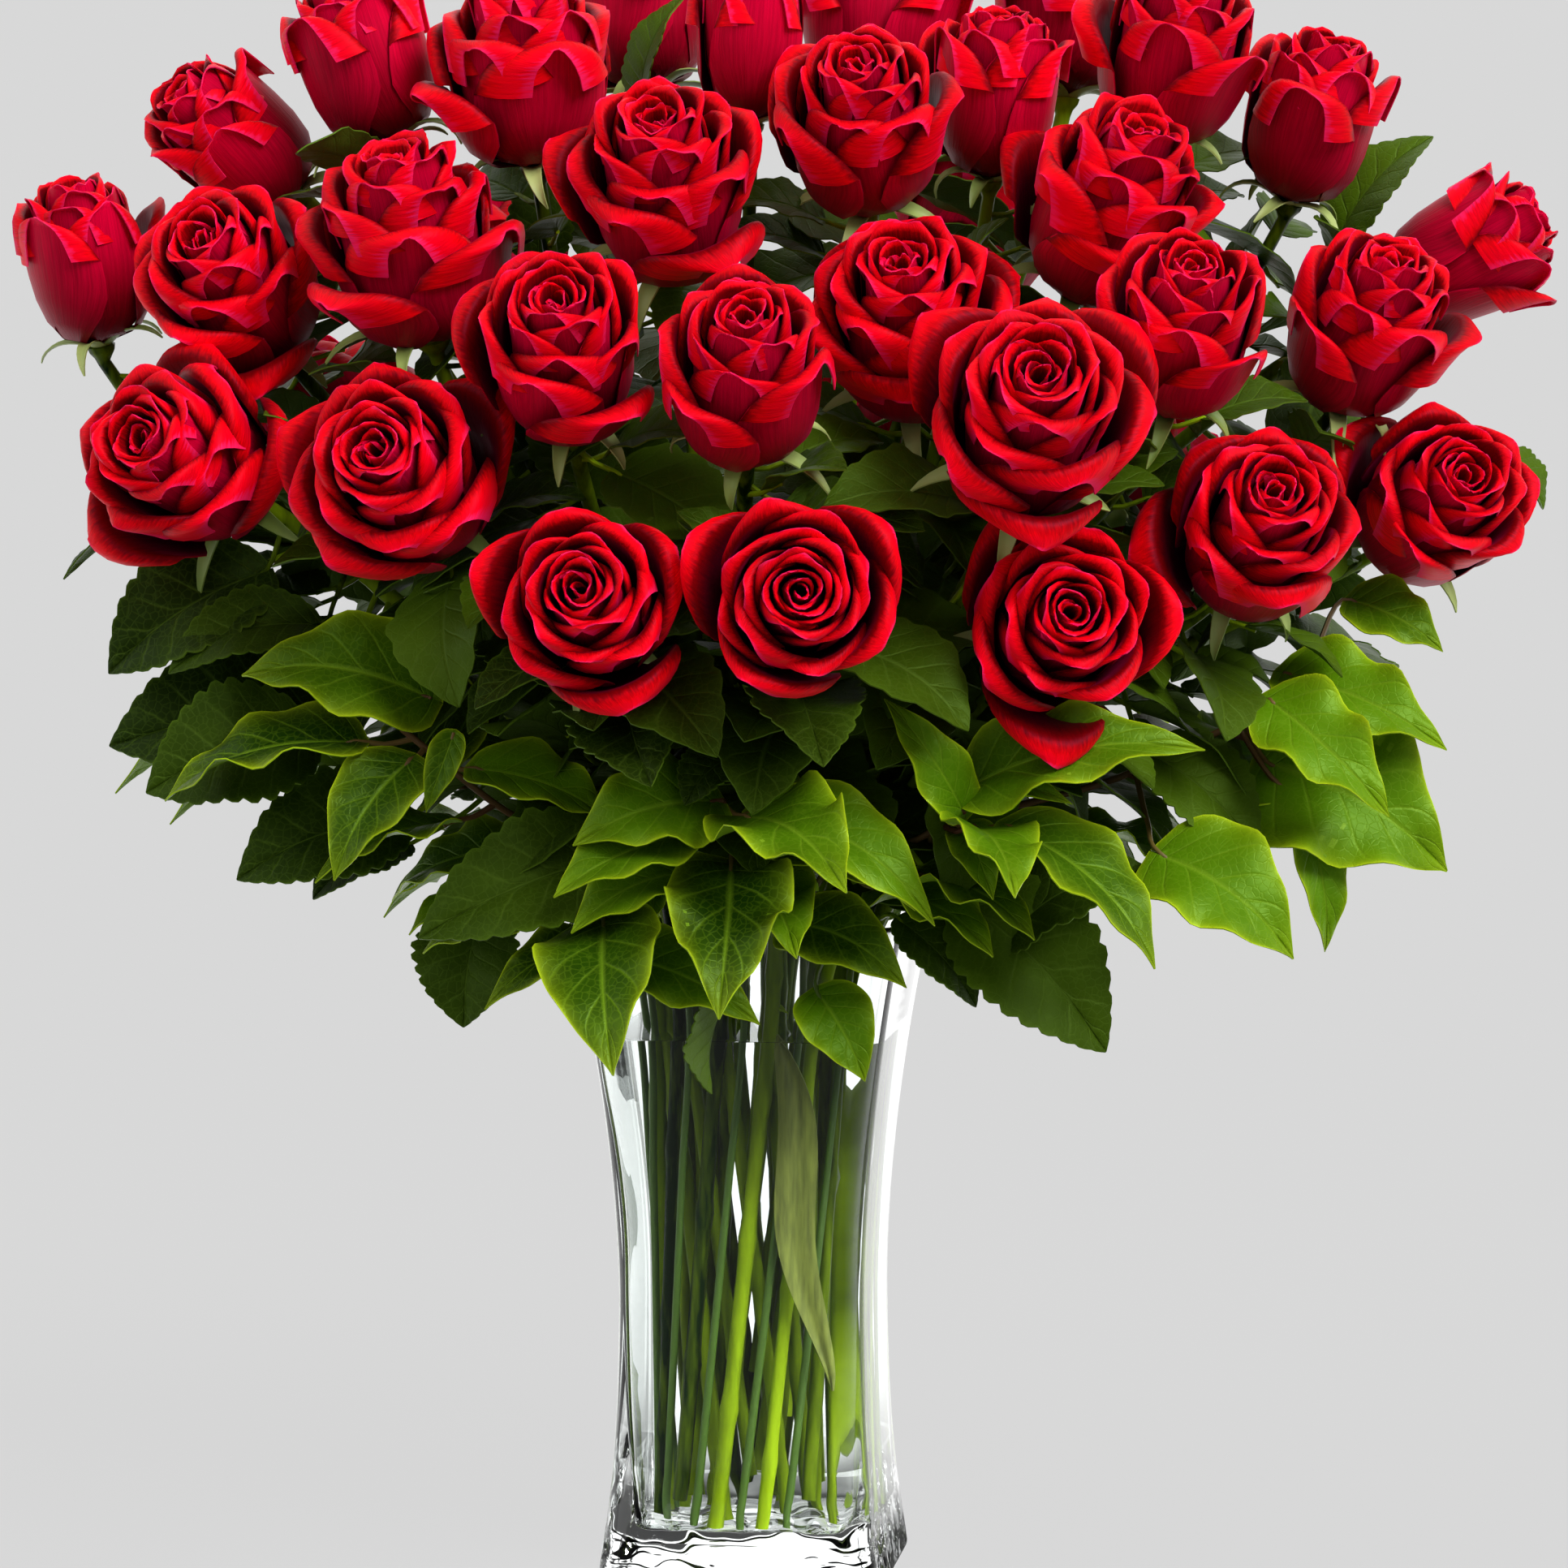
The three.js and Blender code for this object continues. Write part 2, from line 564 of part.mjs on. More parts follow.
// A place from the tables as a leaf: the roll turns its upper face from straight up to the front.
function placedLeaf([bx, by, bz, tx, ty, tz, width, roll, arch]) {
  const face = vec(0, -Math.sin(radians(roll)), Math.cos(radians(roll)));
  const shape = width > SMALL_LEAF ? LARGE_SHAPE : SMALL_SHAPE;
  return { base: vec(bx, by, bz), tip: vec(tx, ty, tz), width, arch, face, shape };
}

// Points spread over a leaf, by which it is kept clear of everything else.
function leafSamples(spot) {
  const frame = leafFrame(spot);
  const samples = [];
  for (const [t, reach] of [[0, 0], [0.2, 0.8], [0.4, 0.9], [0.6, 0.75], [0.8, 0.45], [1, 0]]) {
    for (const side of reach ? [-1, -0.5, 0, 0.5, 1] : [0]) {
      samples.push(leafPoint(spot, frame, t, side * reach));
    }
  }
  return samples;
}

// Points every few millimetres along a line.
function lineSamples(points) {
  const samples = [];
  for (let i = 0; i + 1 < points.length; i++) {
    const steps = Math.ceil(points[i].distanceTo(points[i + 1]) / SAMPLE_STEP);
    for (let step = 0; step < steps; step++) {
      samples.push(points[i].clone().lerp(points[i + 1], step / steps));
    }
  }
  return samples;
}

const farFrom = (points, others, least) =>
  points.every((p) => others.every((q) => p.distanceToSquared(q) >= least * least));

// Grows further leaves on the lines wherever there is room. Each is swung round its stem and tipped until it
// is clear of the heads, the other stems and every leaf so far, or is left out.
function grownLeaves(lines, { shares, length, width, pitches, swings }, spaces, stems, taken, roots) {
  const grown = [];
  for (const share of shares) {
    lines.forEach((line, index) => {
      const at = share * (line.points.length - 1);
      const i = Math.min(Math.floor(at), line.points.length - 2);
      const host = line.points[i].clone().lerp(line.points[i + 1], at - i);
      if (host.z < ROOT_LOWEST) return;
      const bearing = Math.atan2(host.y, host.x);
      for (const pitch of pitches) {
        for (const swing of swings) {
          const turn = bearing + radians(swing * (index % 2 ? 1 : -1));
          const ahead = onCircle(Math.cos(radians(pitch)), turn, Math.sin(radians(pitch)));
          const base = host.clone().addScaledVector(ahead, STALK);
          const face = onCircle(0.7, bearing, 1);
          const spot = { base, tip: base.clone().addScaledVector(ahead, length), width, arch: 0.1, face };
          const samples = leafSamples(spot);
          const clear =
            samples.every((p) => p.z > VASE_HEIGHT + VASE_CLEARANCE || Math.hypot(p.x, p.y) > VASE_BERTH) &&
            spaces.every(({ centre, radius }) => farFrom(samples, [centre], radius + BLOOM_CLEARANCE)) &&
            farFrom(samples, taken, LEAF_CLEARANCE) &&
            farFrom(samples, stems, STEM_CLEARANCE);
          if (clear) {
            const back = line.points[i].clone().sub(line.points[i + 1]).normalize();
            taken.push(...samples);
            grown.push({ ...spot, index, host: spacedRoot(host, back, roots), shape: SMALL_SHAPE });
            return;
          }
        }
      }
    });
  }
  return grown;
}

// The point of a set of lines that lies nearest to a place, above the rim, with the line that it belongs to.
function nearestHost(place, lines) {
  let best = { distance: Infinity };
  lines.forEach((line, index) => {
    const points = line.points;
    for (let i = 0; i + 1 < points.length; i++) {
      for (let step = 0; step <= 4; step++) {
        const point = points[i].clone().lerp(points[i + 1], step / 4);
        const distance = point.distanceTo(place);
        if (point.z > ROOT_LOWEST && distance < best.distance) {
          best = { distance, point, index, back: points[i].clone().sub(points[i + 1]).normalize() };
        }
      }
    }
  });
  return best;
}

// Moves the root of a leaf back along its stem until no other leaf grows from the same place.
function spacedRoot(root, back, roots) {
  while (roots.some((other) => other.distanceTo(root) < ROOT_SPACING)) {
    root.addScaledVector(back, ROOT_SPACING);
  }
  roots.push(root);
  return root;
}

const heads = settledHeads();
const spaces = spacesOf(heads);
const groups = groupsOf(heads);

const stemLines = groups.flatMap((group, k) =>
  group.map((head, circle) => {
    const line = stemLine(head, spaces, k, circle);
    return { ...line, head, group: k, points: [line.neck, ...line.curve, line.hip] };
  }),
);

const twigLines = SPRAYS.map((route, k) => {
  const bearing = Math.atan2(route[0][1], route[0][0]);
  const pitch = radians(360 / GROUPS);
  const start = radians(GROUP_TURN) + pitch / 2;
  const neckAngle = start + pitch * Math.round((bearing - start) / pitch);
  const foot = onCircle(TWIG_FOOT_RING, neckAngle + radians(RING_TURNS[0]), FLOOR_TOP + GAP);
  const neck = onCircle(TWIG_NECK_RING, neckAngle, NECK_Z);
  const over = onCircle(RIM_CROSSING[0], neckAngle, RIM_CROSSING[1]);
  const curve = [over, ...route.map((place) => clearOf(vec(...place), spaces, TWIG_BERTH))];
  return { foot, neck, curve, group: k, points: curve };
});

const roots = [];
const placed = (places, lines) =>
  places.map(placedLeaf).map((spot) => {
    const { point, index, back } = nearestHost(spot.base, lines);
    return { ...spot, host: spacedRoot(point, back, roots), index };
  });
const sprayLeaves = placed(SPRAY_LEAVES, twigLines);
const roseLeaves = placed(ROSE_LEAVES, stemLines);
const taken = [...sprayLeaves, ...roseLeaves].flatMap((spot) => [
  ...leafSamples(spot),
  ...lineSamples([spot.host, spot.base]),
]);
const stemSamples = [...stemLines, ...twigLines].flatMap((line) => lineSamples(line.points));
const swings = [35, -35, 75, -75, 110, -110, 0, 150];
sprayLeaves.push(
  ...grownLeaves(
    twigLines,
    { shares: [1, 0.7], length: 66, width: 42, pitches: [-15, -40, 10], swings },
    spaces,
    stemSamples,
    taken,
    roots,
  ),
);
roseLeaves.push(
  ...grownLeaves(
    stemLines,
    { shares: [0.36, 0.6], length: 58, width: 40, pitches: [-20, -45, 5], swings },
    spaces,
    stemSamples,
    taken,
    roots,
  ),
);

const leavesOf = (leaves, lines, group) =>
  leaves.filter(({ index }) => lines[index].group === group).map((spot) => leaf(spot, spot.host));

for (let k = 0; k < GROUPS; k++) {
  const members = stemLines.filter((line) => line.group === k);
  const solids = [...members.map(stem), ...leavesOf(roseLeaves, stemLines, k)];
  addNode(`stems_${String(k + 1).padStart(2, "0")}`, fuse(solids), "rose_green");
}
twigLines.forEach((line, k) => {
  addNode(`spray_${k + 1}`, fuse([twig(line), ...leavesOf(sprayLeaves, twigLines, k)]), "spray_green");
});

const hole = ({ foot, neck }, radius, sides) =>
  loft([
    ringAround(foot.clone().lerp(neck, -0.1), UP, radius + HOLE_EASE, sides),
    ringAround(neck, UP, radius + HOLE_EASE, sides),
  ]);
const holes = [
  ...stemLines.map((line) => hole(line, STEM_RADIUS, STEM_SIDES)),
  ...twigLines.map((line) => hole(line, TWIG_RADIUS, TWIG_SIDES)),
];
addNode("vase", vase(), "glass");
addNode("water", water(holes), "water");
heads.forEach((head, i) => {
  addNode(`bloom_${String(i + 1).padStart(2, "0")}`, bloom(head, (i * TURN_STEP) % 1), "petal");
});

export default part;
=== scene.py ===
"""Roses in a vase: thirty-six red roses and eight leafy sprays in a flared square glass vase.

Lengths are in millimetres until a mesh is made, and the front faces -Y.
"""
import math

import bpy
import numpy as np
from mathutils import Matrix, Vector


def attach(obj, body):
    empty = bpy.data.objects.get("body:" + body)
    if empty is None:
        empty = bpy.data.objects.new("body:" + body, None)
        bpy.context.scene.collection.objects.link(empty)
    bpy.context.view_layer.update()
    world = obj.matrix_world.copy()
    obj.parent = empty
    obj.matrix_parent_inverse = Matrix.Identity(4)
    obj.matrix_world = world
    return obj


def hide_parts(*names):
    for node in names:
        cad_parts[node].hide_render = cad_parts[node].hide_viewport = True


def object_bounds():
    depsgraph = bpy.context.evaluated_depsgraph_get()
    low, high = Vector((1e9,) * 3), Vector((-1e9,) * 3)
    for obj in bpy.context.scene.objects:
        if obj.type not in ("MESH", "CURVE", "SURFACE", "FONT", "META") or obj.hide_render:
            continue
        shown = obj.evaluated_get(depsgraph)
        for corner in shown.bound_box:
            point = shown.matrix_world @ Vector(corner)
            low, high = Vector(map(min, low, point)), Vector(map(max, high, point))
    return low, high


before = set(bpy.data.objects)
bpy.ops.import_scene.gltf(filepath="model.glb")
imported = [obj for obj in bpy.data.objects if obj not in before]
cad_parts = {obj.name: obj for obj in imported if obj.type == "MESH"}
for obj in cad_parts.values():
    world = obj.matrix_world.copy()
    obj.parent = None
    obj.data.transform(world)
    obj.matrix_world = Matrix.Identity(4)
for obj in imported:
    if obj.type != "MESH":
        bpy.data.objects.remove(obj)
cad_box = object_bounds()

MM = 0.001  # metres in a millimetre
UP = np.array([0.0, 0.0, 1.0])
HEAD_SEED, STEM_SEED, SPRAY_SEED = 100, 300, 500  # every piece draws its own random numbers from here on

# Vase: half widths of its square section, and heights
VASE_HEIGHT = 230
VASE_TURN = math.radians(-8)
FOOT_HALF = 49
WAIST_HALF = 42
RIM_HALF = 57
FLARE_START = 95  # height from which the walls flare
CORNER_RADIUS = 10
WELL_CORNER = 8
FOOT_BEVEL = 2
RIM_BEVEL = 1
RIM_WALL = 4
WALL_GAIN = 1.5  # how much thicker the wall is at the foot than at the rim
WELL_HALF = 36.5
WELL_FLARE_START = 110
FLOOR_TOP = 20
FLOOR_ROUND = 2
WATER_TOP = 190
GAP = 0.3  # between a stem and what it stands on or carries

# Stems
STEM_RADIUS = 2.5
TWIG_RADIUS = 1.5
NECK_Z = 195  # height up to which every stem is straight
FOOT_RINGS = [31, 22, 11]  # radii of the circles that a group's three stems stand on
NECK_RINGS = [33.4, 29.1, 24.8]  # and of those on which they cross the neck
RING_TURNS = [-34, 55, -70]  # degrees from a stem's place at the neck to its foot
FOOT_SHARES = [[0, 0.05, 0], [0.05, 0, 0.1, 0.02], [0.2, 0.3, 0.1, 0.15]]  # share of each that is cut off
TWIG_FOOT_RING = 31.5
TWIG_NECK_RING = 38
GROUPS = 12
BUNCH_MIDDLE = -20  # y of the middle round which the heads are counted off into groups
GROUP_TURN = 40  # degrees from +X to the first group
STEM_LEAN = 0.1  # how far outwards a stem leaves the neck, per height
NECK_HANDLE, HIP_HANDLE = 0.4, 0.2  # how long a stem holds its slope at its two ends, as shares of its span
STEM_STEPS = [0.3, 0.6, 0.85]  # shares of its curve at which its points are
RIM_CROSSING = [48, 242]  # distance from the middle and height at which a twig passes over the rim

# Leaves
BLADE = 0.5  # thickness of a leaf
FOLD = 0.2  # how far a leaf's halves are folded up, per width
STALK = 16
GROWN_ARCH = 0.1
GROWN_FACE = 0.7  # how far a leaf that has grown by rule looks outwards
ROOT_LOWEST = VASE_HEIGHT + 6  # no leaf grows lower than this
ROOT_SPACING = 2.7  # least distance between two leaves' roots
ROOT_STEPS = 4  # places looked at between two points of a line
VASE_CLEARANCE, VASE_BERTH = 4, 78  # a leaf stays this far above the vase, or this far from its middle
BLOOM_CLEARANCE = 3
SAMPLE_STEP = 6
BOX_MARGIN = 8  # how far the leaves may reach out of the frame's own box

# Heads
SETTLE_PASSES = 60
YIELDING = np.array([0.35, 1, 0.35])  # how readily heads that meet give way along x, y and z
HEAD_CLEARANCE = 1.5
HEAD_BERTH, TWIG_BERTH = 9, 5  # how far stems and twigs pass clear of the heads of others
BERTH_PASSES = 6
CLOSED_WIDTH, OPEN_WIDTH = 46, 70
# A head from its middle down to its hip and up to its lip, and its lower end, all per radius
CLOSED_DEPTH, OPEN_DEPTH = 1.5, 1.15
LIP_RISE = 0.8
HEEL = 0.5
HIP_LENGTH = 6

# Rose heads: middle x, y, z, width, then the direction that each one faces
HEADS = np.array([
    [-230, 5, 453, 52, -0.15, -0.25, 1],
    [-178, 0, 495, 54, -0.7, -0.5, 0.6],
    [-132, -20, 520, 54, -0.35, -0.1, 1],
    [-175, -40, 443, 67, -0.35, -0.9, 0.6],
    [-113, -70, 458, 71, -0.2, -0.45, 1],
    [-76, -45, 516, 67, -0.1, -0.35, 1],
    [-188, -65, 388, 68, -0.45, -0.9, 0.3],
    [-113, -115, 381, 72, -0.25, -1, 0.35],
    [-60, -130, 421, 62, -0.05, -0.9, 0.7],
    [-29, -95, 476, 68, -0.1, -0.8, 0.8],
    [-1, -45, 524, 45, 0, -0.15, 1],
    [36, -80, 495, 62, -0.1, -0.8, 0.8],
    [-3, -145, 413, 59, 0, -0.8, 0.8],
    [50, -95, 432, 70, -0.1, -0.85, 0.7],
    [88, -150, 398, 75, 0.05, -1, 0.55],
    [-51, -150, 341, 63, -0.1, -1, 0.25],
    [15, -165, 344, 65, 0, -1, 0.12],
    [98, -128, 336, 67, 0.1, -1, 0.2],
    [81, -35, 508, 52, 0.05, -0.3, 1],
    [41, 30, 541, 60, 0.05, 0.1, 1],
    [142, -30, 520, 59, 0.15, -0.5, 1],
    [188, -10, 502, 54, 0.25, -0.3, 1],
    [119, -60, 472, 70, 0.35, -0.6, 0.9],
    [138, -105, 429, 58, 0.1, -0.7, 0.8],
    [204, -50, 430, 61, 0.25, -0.6, 0.8],
    [244, 0, 457, 54, 1, -0.3, 0.6],
    [164, -95, 363, 66, 0.15, -0.9, 0.5],
    [228, -42, 371, 63, 0.3, -0.9, 0.4],
    [111, 35, 543, 60, 0.1, 0, 1],
    [-40, 35, 544, 60, -0.1, 0.1, 1],
    [-148, 72, 396, 68, -0.7, 0.6, 0.6],
    [-62, 112, 360, 72, -0.3, 1, 0.25],
    [38, 122, 392, 64, 0.1, 1, 0.7],
    [140, 84, 372, 70, 0.7, 0.7, 0.3],
    [-96, 80, 452, 62, -0.4, 0.7, 0.8],
    [74, 86, 466, 68, 0.35, 0.6, 1],
])

# Sprays: for each, the middle and the tip of its twig beyond the rim
SPRAYS = np.array([
    [[-86, -66, 272], [-116, -80, 298]],
    [[-44, -72, 252], [-50, -84, 246]],
    [[-4, -86, 258], [-10, -104, 276]],
    [[58, -84, 264], [72, -104, 278]],
    [[128, -48, 282], [176, -52, 305]],
    [[92, 96, 276], [124, 126, 292]],
    [[10, 98, 280], [22, 120, 300]],
    [[-116, 36, 276], [-150, 60, 292]],
], float)

# Placed leaves: base x, y, z, tip x, y, z, width, roll in degrees, arch
SPRAY_LEAVES = [
    [-107, -75, 308, -169, -75, 317, 44, 50, 0.12],
    [-113, -85, 288, -137, -105, 251, 30, 40, 0.1],
    [-98, -95, 297, -107, -100, 272, 12, 60, 0.1],
    [-12, -105, 276, -58, -120, 264, 40, 50, 0.15],
    [-32, -80, 250, -33, -90, 235, 12, 20, 0.1],
    [1, -105, 272, 59, -125, 239, 34, 45, 0.15],
    [0, -90, 261, 53, -105, 242, 22, 40, 0.15],
    [-46, -75, 224, -88, -95, 208, 22, 50, 0.2],
    [-43, -80, 222, 2, -95, 203, 30, 50, 0.15],
    [12, -75, 233, 50, -95, 215, 30, 55, 0.15],
    [21, -75, 210, 37, -85, 182, 26, 60, 0.1],
    [68, -115, 273, 43, -120, 310, 20, 60, 0.2],
    [70, -110, 281, 144, -128, 296, 34, 50, 0.14],
    [70, -95, 276, 102, -120, 277, 18, 60, 0.2],
    [70, -90, 267, 78, -110, 245, 18, 40, 0.1],
    [172, -50, 285, 232, -60, 250, 60, 68, 0.12],
    [171, -70, 307, 209, -90, 271, 34, 50, 0.12],
    [178, -50, 315, 230, -70, 292, 34, 50, 0.12],
    [201, -40, 339, 231, -50, 323, 26, 50, 0.12],
    [184, -60, 269, 192, -60, 222, 20, 20, 0.1],
    [134, -86, 257, 177, -100, 225, 44, 50, 0.15],
]
ROSE_LEAVES = [
    [-165, -30, 349, -218, -40, 315, 46, 55, 0.12],
    [-146, -44, 331, -196, -54, 316, 34, 40, 0.12],
    [-150, -20, 303, -219, -30, 290, 52, 60, 0.12],
    [-148, -50, 293, -203, -60, 276, 48, 60, 0.12],
    [-117, -50, 266, -173, -60, 247, 44, 55, 0.12],
    [-117, -35, 256, -149, -45, 239, 30, 30, 0.12],
    [-41, -85, 258, -110, -95, 231, 44, 55, 0.12],
    [-92, -60, 234, -97, -70, 198, 38, 10, 0.1],
    [-7, -85, 214, -15, -80, 177, 38, 5, 0.1],
    [-7, -110, 291, -22, -120, 276, 22, 30, 0.1],
    [130, -64, 290, 168, -70, 256, 38, 40, 0.12],
    [83, -70, 227, 131, -80, 252, 36, 40, 0.12],
    [70, -66, 240, 117, -78, 191, 48, 62, 0.12],
    [48, -70, 234, 74, -78, 206, 26, 30, 0.12],
    [258, 10, 388, 273, 10, 369, 24, 20, 0.1],
    [201, 20, 461, 234, 20, 498, 30, 30, 0.1],
    [167, 20, 416, 178, 10, 477, 34, 10, 0.1],
    [-39, -10, 506, -24, -10, 544, 26, 10, 0.1],
    [-148, -58, 385, -160, -82, 402, 20, 30, 0.1],
    [-74, 0, 452, -76, 0, 488, 24, 10, 0.1],
    [68, -40, 440, 84, -50, 467, 22, 20, 0.1],
    [-39, -110, 365, -16, -120, 349, 26, 30, 0.1],
]


def unit(vectors):
    """Each vector divided by its length."""
    return vectors / np.maximum(np.linalg.norm(vectors, axis=-1, keepdims=True), 1e-9)


def smooth(t):
    """Rises from 0 to 1 with level ends."""
    t = np.clip(t, 0, 1)
    return t * t * (3 - 2 * t)


def on_circle(radius, angle, z):
    return np.array([radius * math.cos(angle), radius * math.sin(angle), z])


# The layout: heads, stem lines and leaves stand where the frame's solids do.


def settled_heads():
    """Heads that meet press each other apart along the line between them, mostly forwards and back."""
    radii, axes = HEADS[:, 3] / 2, unit(HEADS[:, 4:])
    opened = np.clip((HEADS[:, 3] - CLOSED_WIDTH) / (OPEN_WIDTH - CLOSED_WIDTH), 0, 1)
    depths = CLOSED_DEPTH + (OPEN_DEPTH - CLOSED_DEPTH) * opened
    centres = HEADS[:, :3] + axes * ((depths - LIP_RISE) / 2 * radii)[:, None]
    for _ in range(SETTLE_PASSES):
        for i in range(len(centres)):
            for j in range(i + 1, len(centres)):
                apart = centres[j] - centres[i]
                distance = math.sqrt(apart @ apart)
                short = radii[i] + radii[j] + HEAD_CLEARANCE - distance
                if short > 0:
                    push = apart / distance * (short / 2) * YIELDING
                    centres[i] -= push
                    centres[j] += push
    return [
        {"centre": c, "radius": r, "axis": a, "depth": d, "opened": o, "index": i}
        for i, (c, r, a, d, o) in enumerate(zip(centres, radii, axes, depths, opened))
    ]


def sideways(direction):
    """Two unit vectors square to a direction, the first as near to +X as it can be."""
    first = unit(np.array([1.0, 0.0, 0.0]) - direction[0] * direction)
    return first, np.cross(direction, first)


def square_to(axis, angle):
    """The direction square to an axis, at an angle round it."""
    first, second = sideways(axis)
    return first * math.cos(angle) + second * math.sin(angle)


def bezier(a, b, c, d, t):
    """A cubic curve's point at the share t."""
    return a * (1 - t) ** 3 + b * 3 * t * (1 - t) ** 2 + c * 3 * t * t * (1 - t) + d * t**3


def spaces_of(heads):
    """The round spaces that the heads keep free: one for each cup and a smaller one for its lower end."""
    spaces = []
    for head in heads:
        heel = head["centre"] + head["axis"] * (HEEL - head["depth"]) * head["radius"]
        spaces.append({"head": head, "centre": head["centre"], "radius": head["radius"]})
        spaces.append({"head": head, "centre": heel, "radius": HEEL * head["radius"]})
    return spaces


def clear_of(point, spaces, margin, own=None):
    """Moves a point out of every space that it is too near to."""
    for _ in range(BERTH_PASSES):
        for space in spaces:
            away = point - space["centre"]
            distance = np.linalg.norm(away)
            short = space["radius"] + margin - distance
            if space["head"] is not own and short > 0:
                point = point + away / distance * short
    return point


def groups_of(heads):
    """Groups of three heads that stand next to each other round the vase, lowest and outermost first."""
    def bearing(head):
        x, y, _ = head["centre"]
        return math.atan2(y - BUNCH_MIDDLE, x) % (2 * math.pi)

    def rise(head):
        x, y, z = head["centre"]
        return (z - NECK_Z) / math.hypot(x, y)

    ordered = sorted(heads, key=bearing)
    return [sorted(ordered[3 * k:3 * k + 3], key=rise) for k in range(GROUPS)]


def stem_line(head, spaces, group, circle):
    """One stem: straight in the water, then curving from the neck up to the back of its head."""
    neck_angle = math.radians(GROUP_TURN + 360 / GROUPS * group)
    foot_angle = neck_angle + math.radians(RING_TURNS[circle])
    neck = on_circle(NECK_RINGS[circle], neck_angle, NECK_Z)
    cut = FOOT_SHARES[circle][group % len(FOOT_SHARES[circle])]
    foot = (1 - cut) * on_circle(FOOT_RINGS[circle], foot_angle, FLOOR_TOP + GAP) + cut * neck
    hip = head["centre"] - head["axis"] * (head["depth"] * head["radius"] + GAP)
    span = np.linalg.norm(hip - neck)
    a = neck + unit(on_circle(STEM_LEAN, neck_angle, 1)) * NECK_HANDLE * span
    b = hip - head["axis"] * HIP_HANDLE * span
    curve = [clear_of(bezier(neck, a, b, hip, t), spaces, HEAD_BERTH, head) for t in STEM_STEPS]
    return {"foot": foot, "neck": neck, "points": np.array([neck, *curve, hip]), "head": head, "group": group}


def twig_line(route, spaces):
    """One twig: straight in the water, over the rim, and out along its two chosen points."""
    pitch = 2 * math.pi / GROUPS
    start = math.radians(GROUP_TURN) + pitch / 2
    bearing = math.atan2(route[0][1], route[0][0])
    neck_angle = start + pitch * math.floor((bearing - start) / pitch + 0.5)
    foot = on_circle(TWIG_FOOT_RING, neck_angle + math.radians(RING_TURNS[0]), FLOOR_TOP + GAP)
    neck = on_circle(TWIG_NECK_RING, neck_angle, NECK_Z)
    over = on_circle(RIM_CROSSING[0], neck_angle, RIM_CROSSING[1])
    points = np.array([over, *[clear_of(place, spaces, TWIG_BERTH) for place in route]])
    return {"foot": foot, "neck": neck, "points": points}


def leaf_axes(spot):
    """A leaf's run from base to tip, the way its upper face looks, and the way across."""
    run = spot["tip"] - spot["base"]
    ahead = unit(run)
    top = unit(spot["face"] - ahead * (spot["face"] @ ahead))
    return run, top, np.cross(ahead, top)


def leaf_points(spot, t, side):
    """Points of a leaf a share t along its arched midrib and so many half widths to the right, folded up."""
    run, top, across = leaf_axes(spot)
    half = (side * spot["width"] / 2)[..., None]
    rise = 4 * spot["arch"] * np.linalg.norm(run) * (t * (1 - t))[..., None] + FOLD * np.abs(half)
    return spot["base"] + run * t[..., None] + top * rise + across * half


SAMPLE_PLACES = np.array([
    [t, side * reach]
    for t, reach in [(0, 0), (0.2, 0.8), (0.4, 0.9), (0.6, 0.75), (0.8, 0.45), (1, 0)]
    for side in ([-1, -0.5, 0, 0.5, 1] if reach else [0])
])


def leaf_samples(spot):
    """Points spread over a leaf, by which it is kept clear of everything else."""
    return leaf_points(spot, SAMPLE_PLACES[:, 0], SAMPLE_PLACES[:, 1])


def line_samples(points):
    """Points every few millimetres along a line."""
    samples = []
    for start, end in zip(points[:-1], points[1:]):
        steps = math.ceil(np.linalg.norm(end - start) / SAMPLE_STEP)
        samples.append(start + (end - start) * (np.arange(steps) / steps)[:, None])
    return np.concatenate(samples)


def nearest(points, others):
    """The least distance between two sets of points."""
    apart = points[:, None, :] - others[None, :, :]
    return math.sqrt((apart**2).sum(-1).min(initial=np.inf))


def spaced_root(root, back, roots):
    """Moves the root of a leaf back along its stem until no other leaf grows from the same place."""
    while any(np.linalg.norm(other - root) < ROOT_SPACING for other in roots):
        root = root + back * ROOT_SPACING
    roots.append(root)
    return root


def root_places(lines):
    """Places along the lines above the rim: each as a point, its line's index and the way back down."""
    for index, line in enumerate(lines):
        for start, end in zip(line["points"][:-1], line["points"][1:]):
            for step in range(ROOT_STEPS + 1):
                point = start + (end - start) * step / ROOT_STEPS
                if point[2] > ROOT_LOWEST:
                    yield point, index, unit(start - end)


def placed_leaf(row, lines, roots):
    """A row of the tables as a leaf on the nearest line. Its roll turns its face from up to the front."""
    roll = math.radians(row[7])
    base, tip = np.array(row[:3], float), np.array(row[3:6], float)
    point, index, back = min(root_places(lines), key=lambda place: np.linalg.norm(place[0] - base))
    return {
        "base": base, "tip": tip, "width": row[6], "arch": row[8], "index": index,
        "face": np.array([0, -math.sin(roll), math.cos(roll)]), "host": spaced_root(point, back, roots),
    }


def grown_leaves(lines, rule, spaces, stems, taken, roots):
    """Leaves that grow on the lines wherever there is room.

    Each is swung round its stem and tipped until it is clear of the heads, the other stems and every leaf so
    far, or is left out.
    """
    grown = []
    for share in rule["shares"]:
        for index, line in enumerate(lines):
            points = line["points"]
            at = share * (len(points) - 1)
            i = min(math.floor(at), len(points) - 2)
            host = points[i] + (points[i + 1] - points[i]) * (at - i)
            if host[2] < ROOT_LOWEST:
                continue
            spot = first_clear_leaf(host, index, rule, spaces, stems, taken)
            if spot:
                taken.append(leaf_samples(spot))
                spot["host"] = spaced_root(host, unit(points[i] - points[i + 1]), roots)
                grown.append({**spot, "index": index})
    return grown


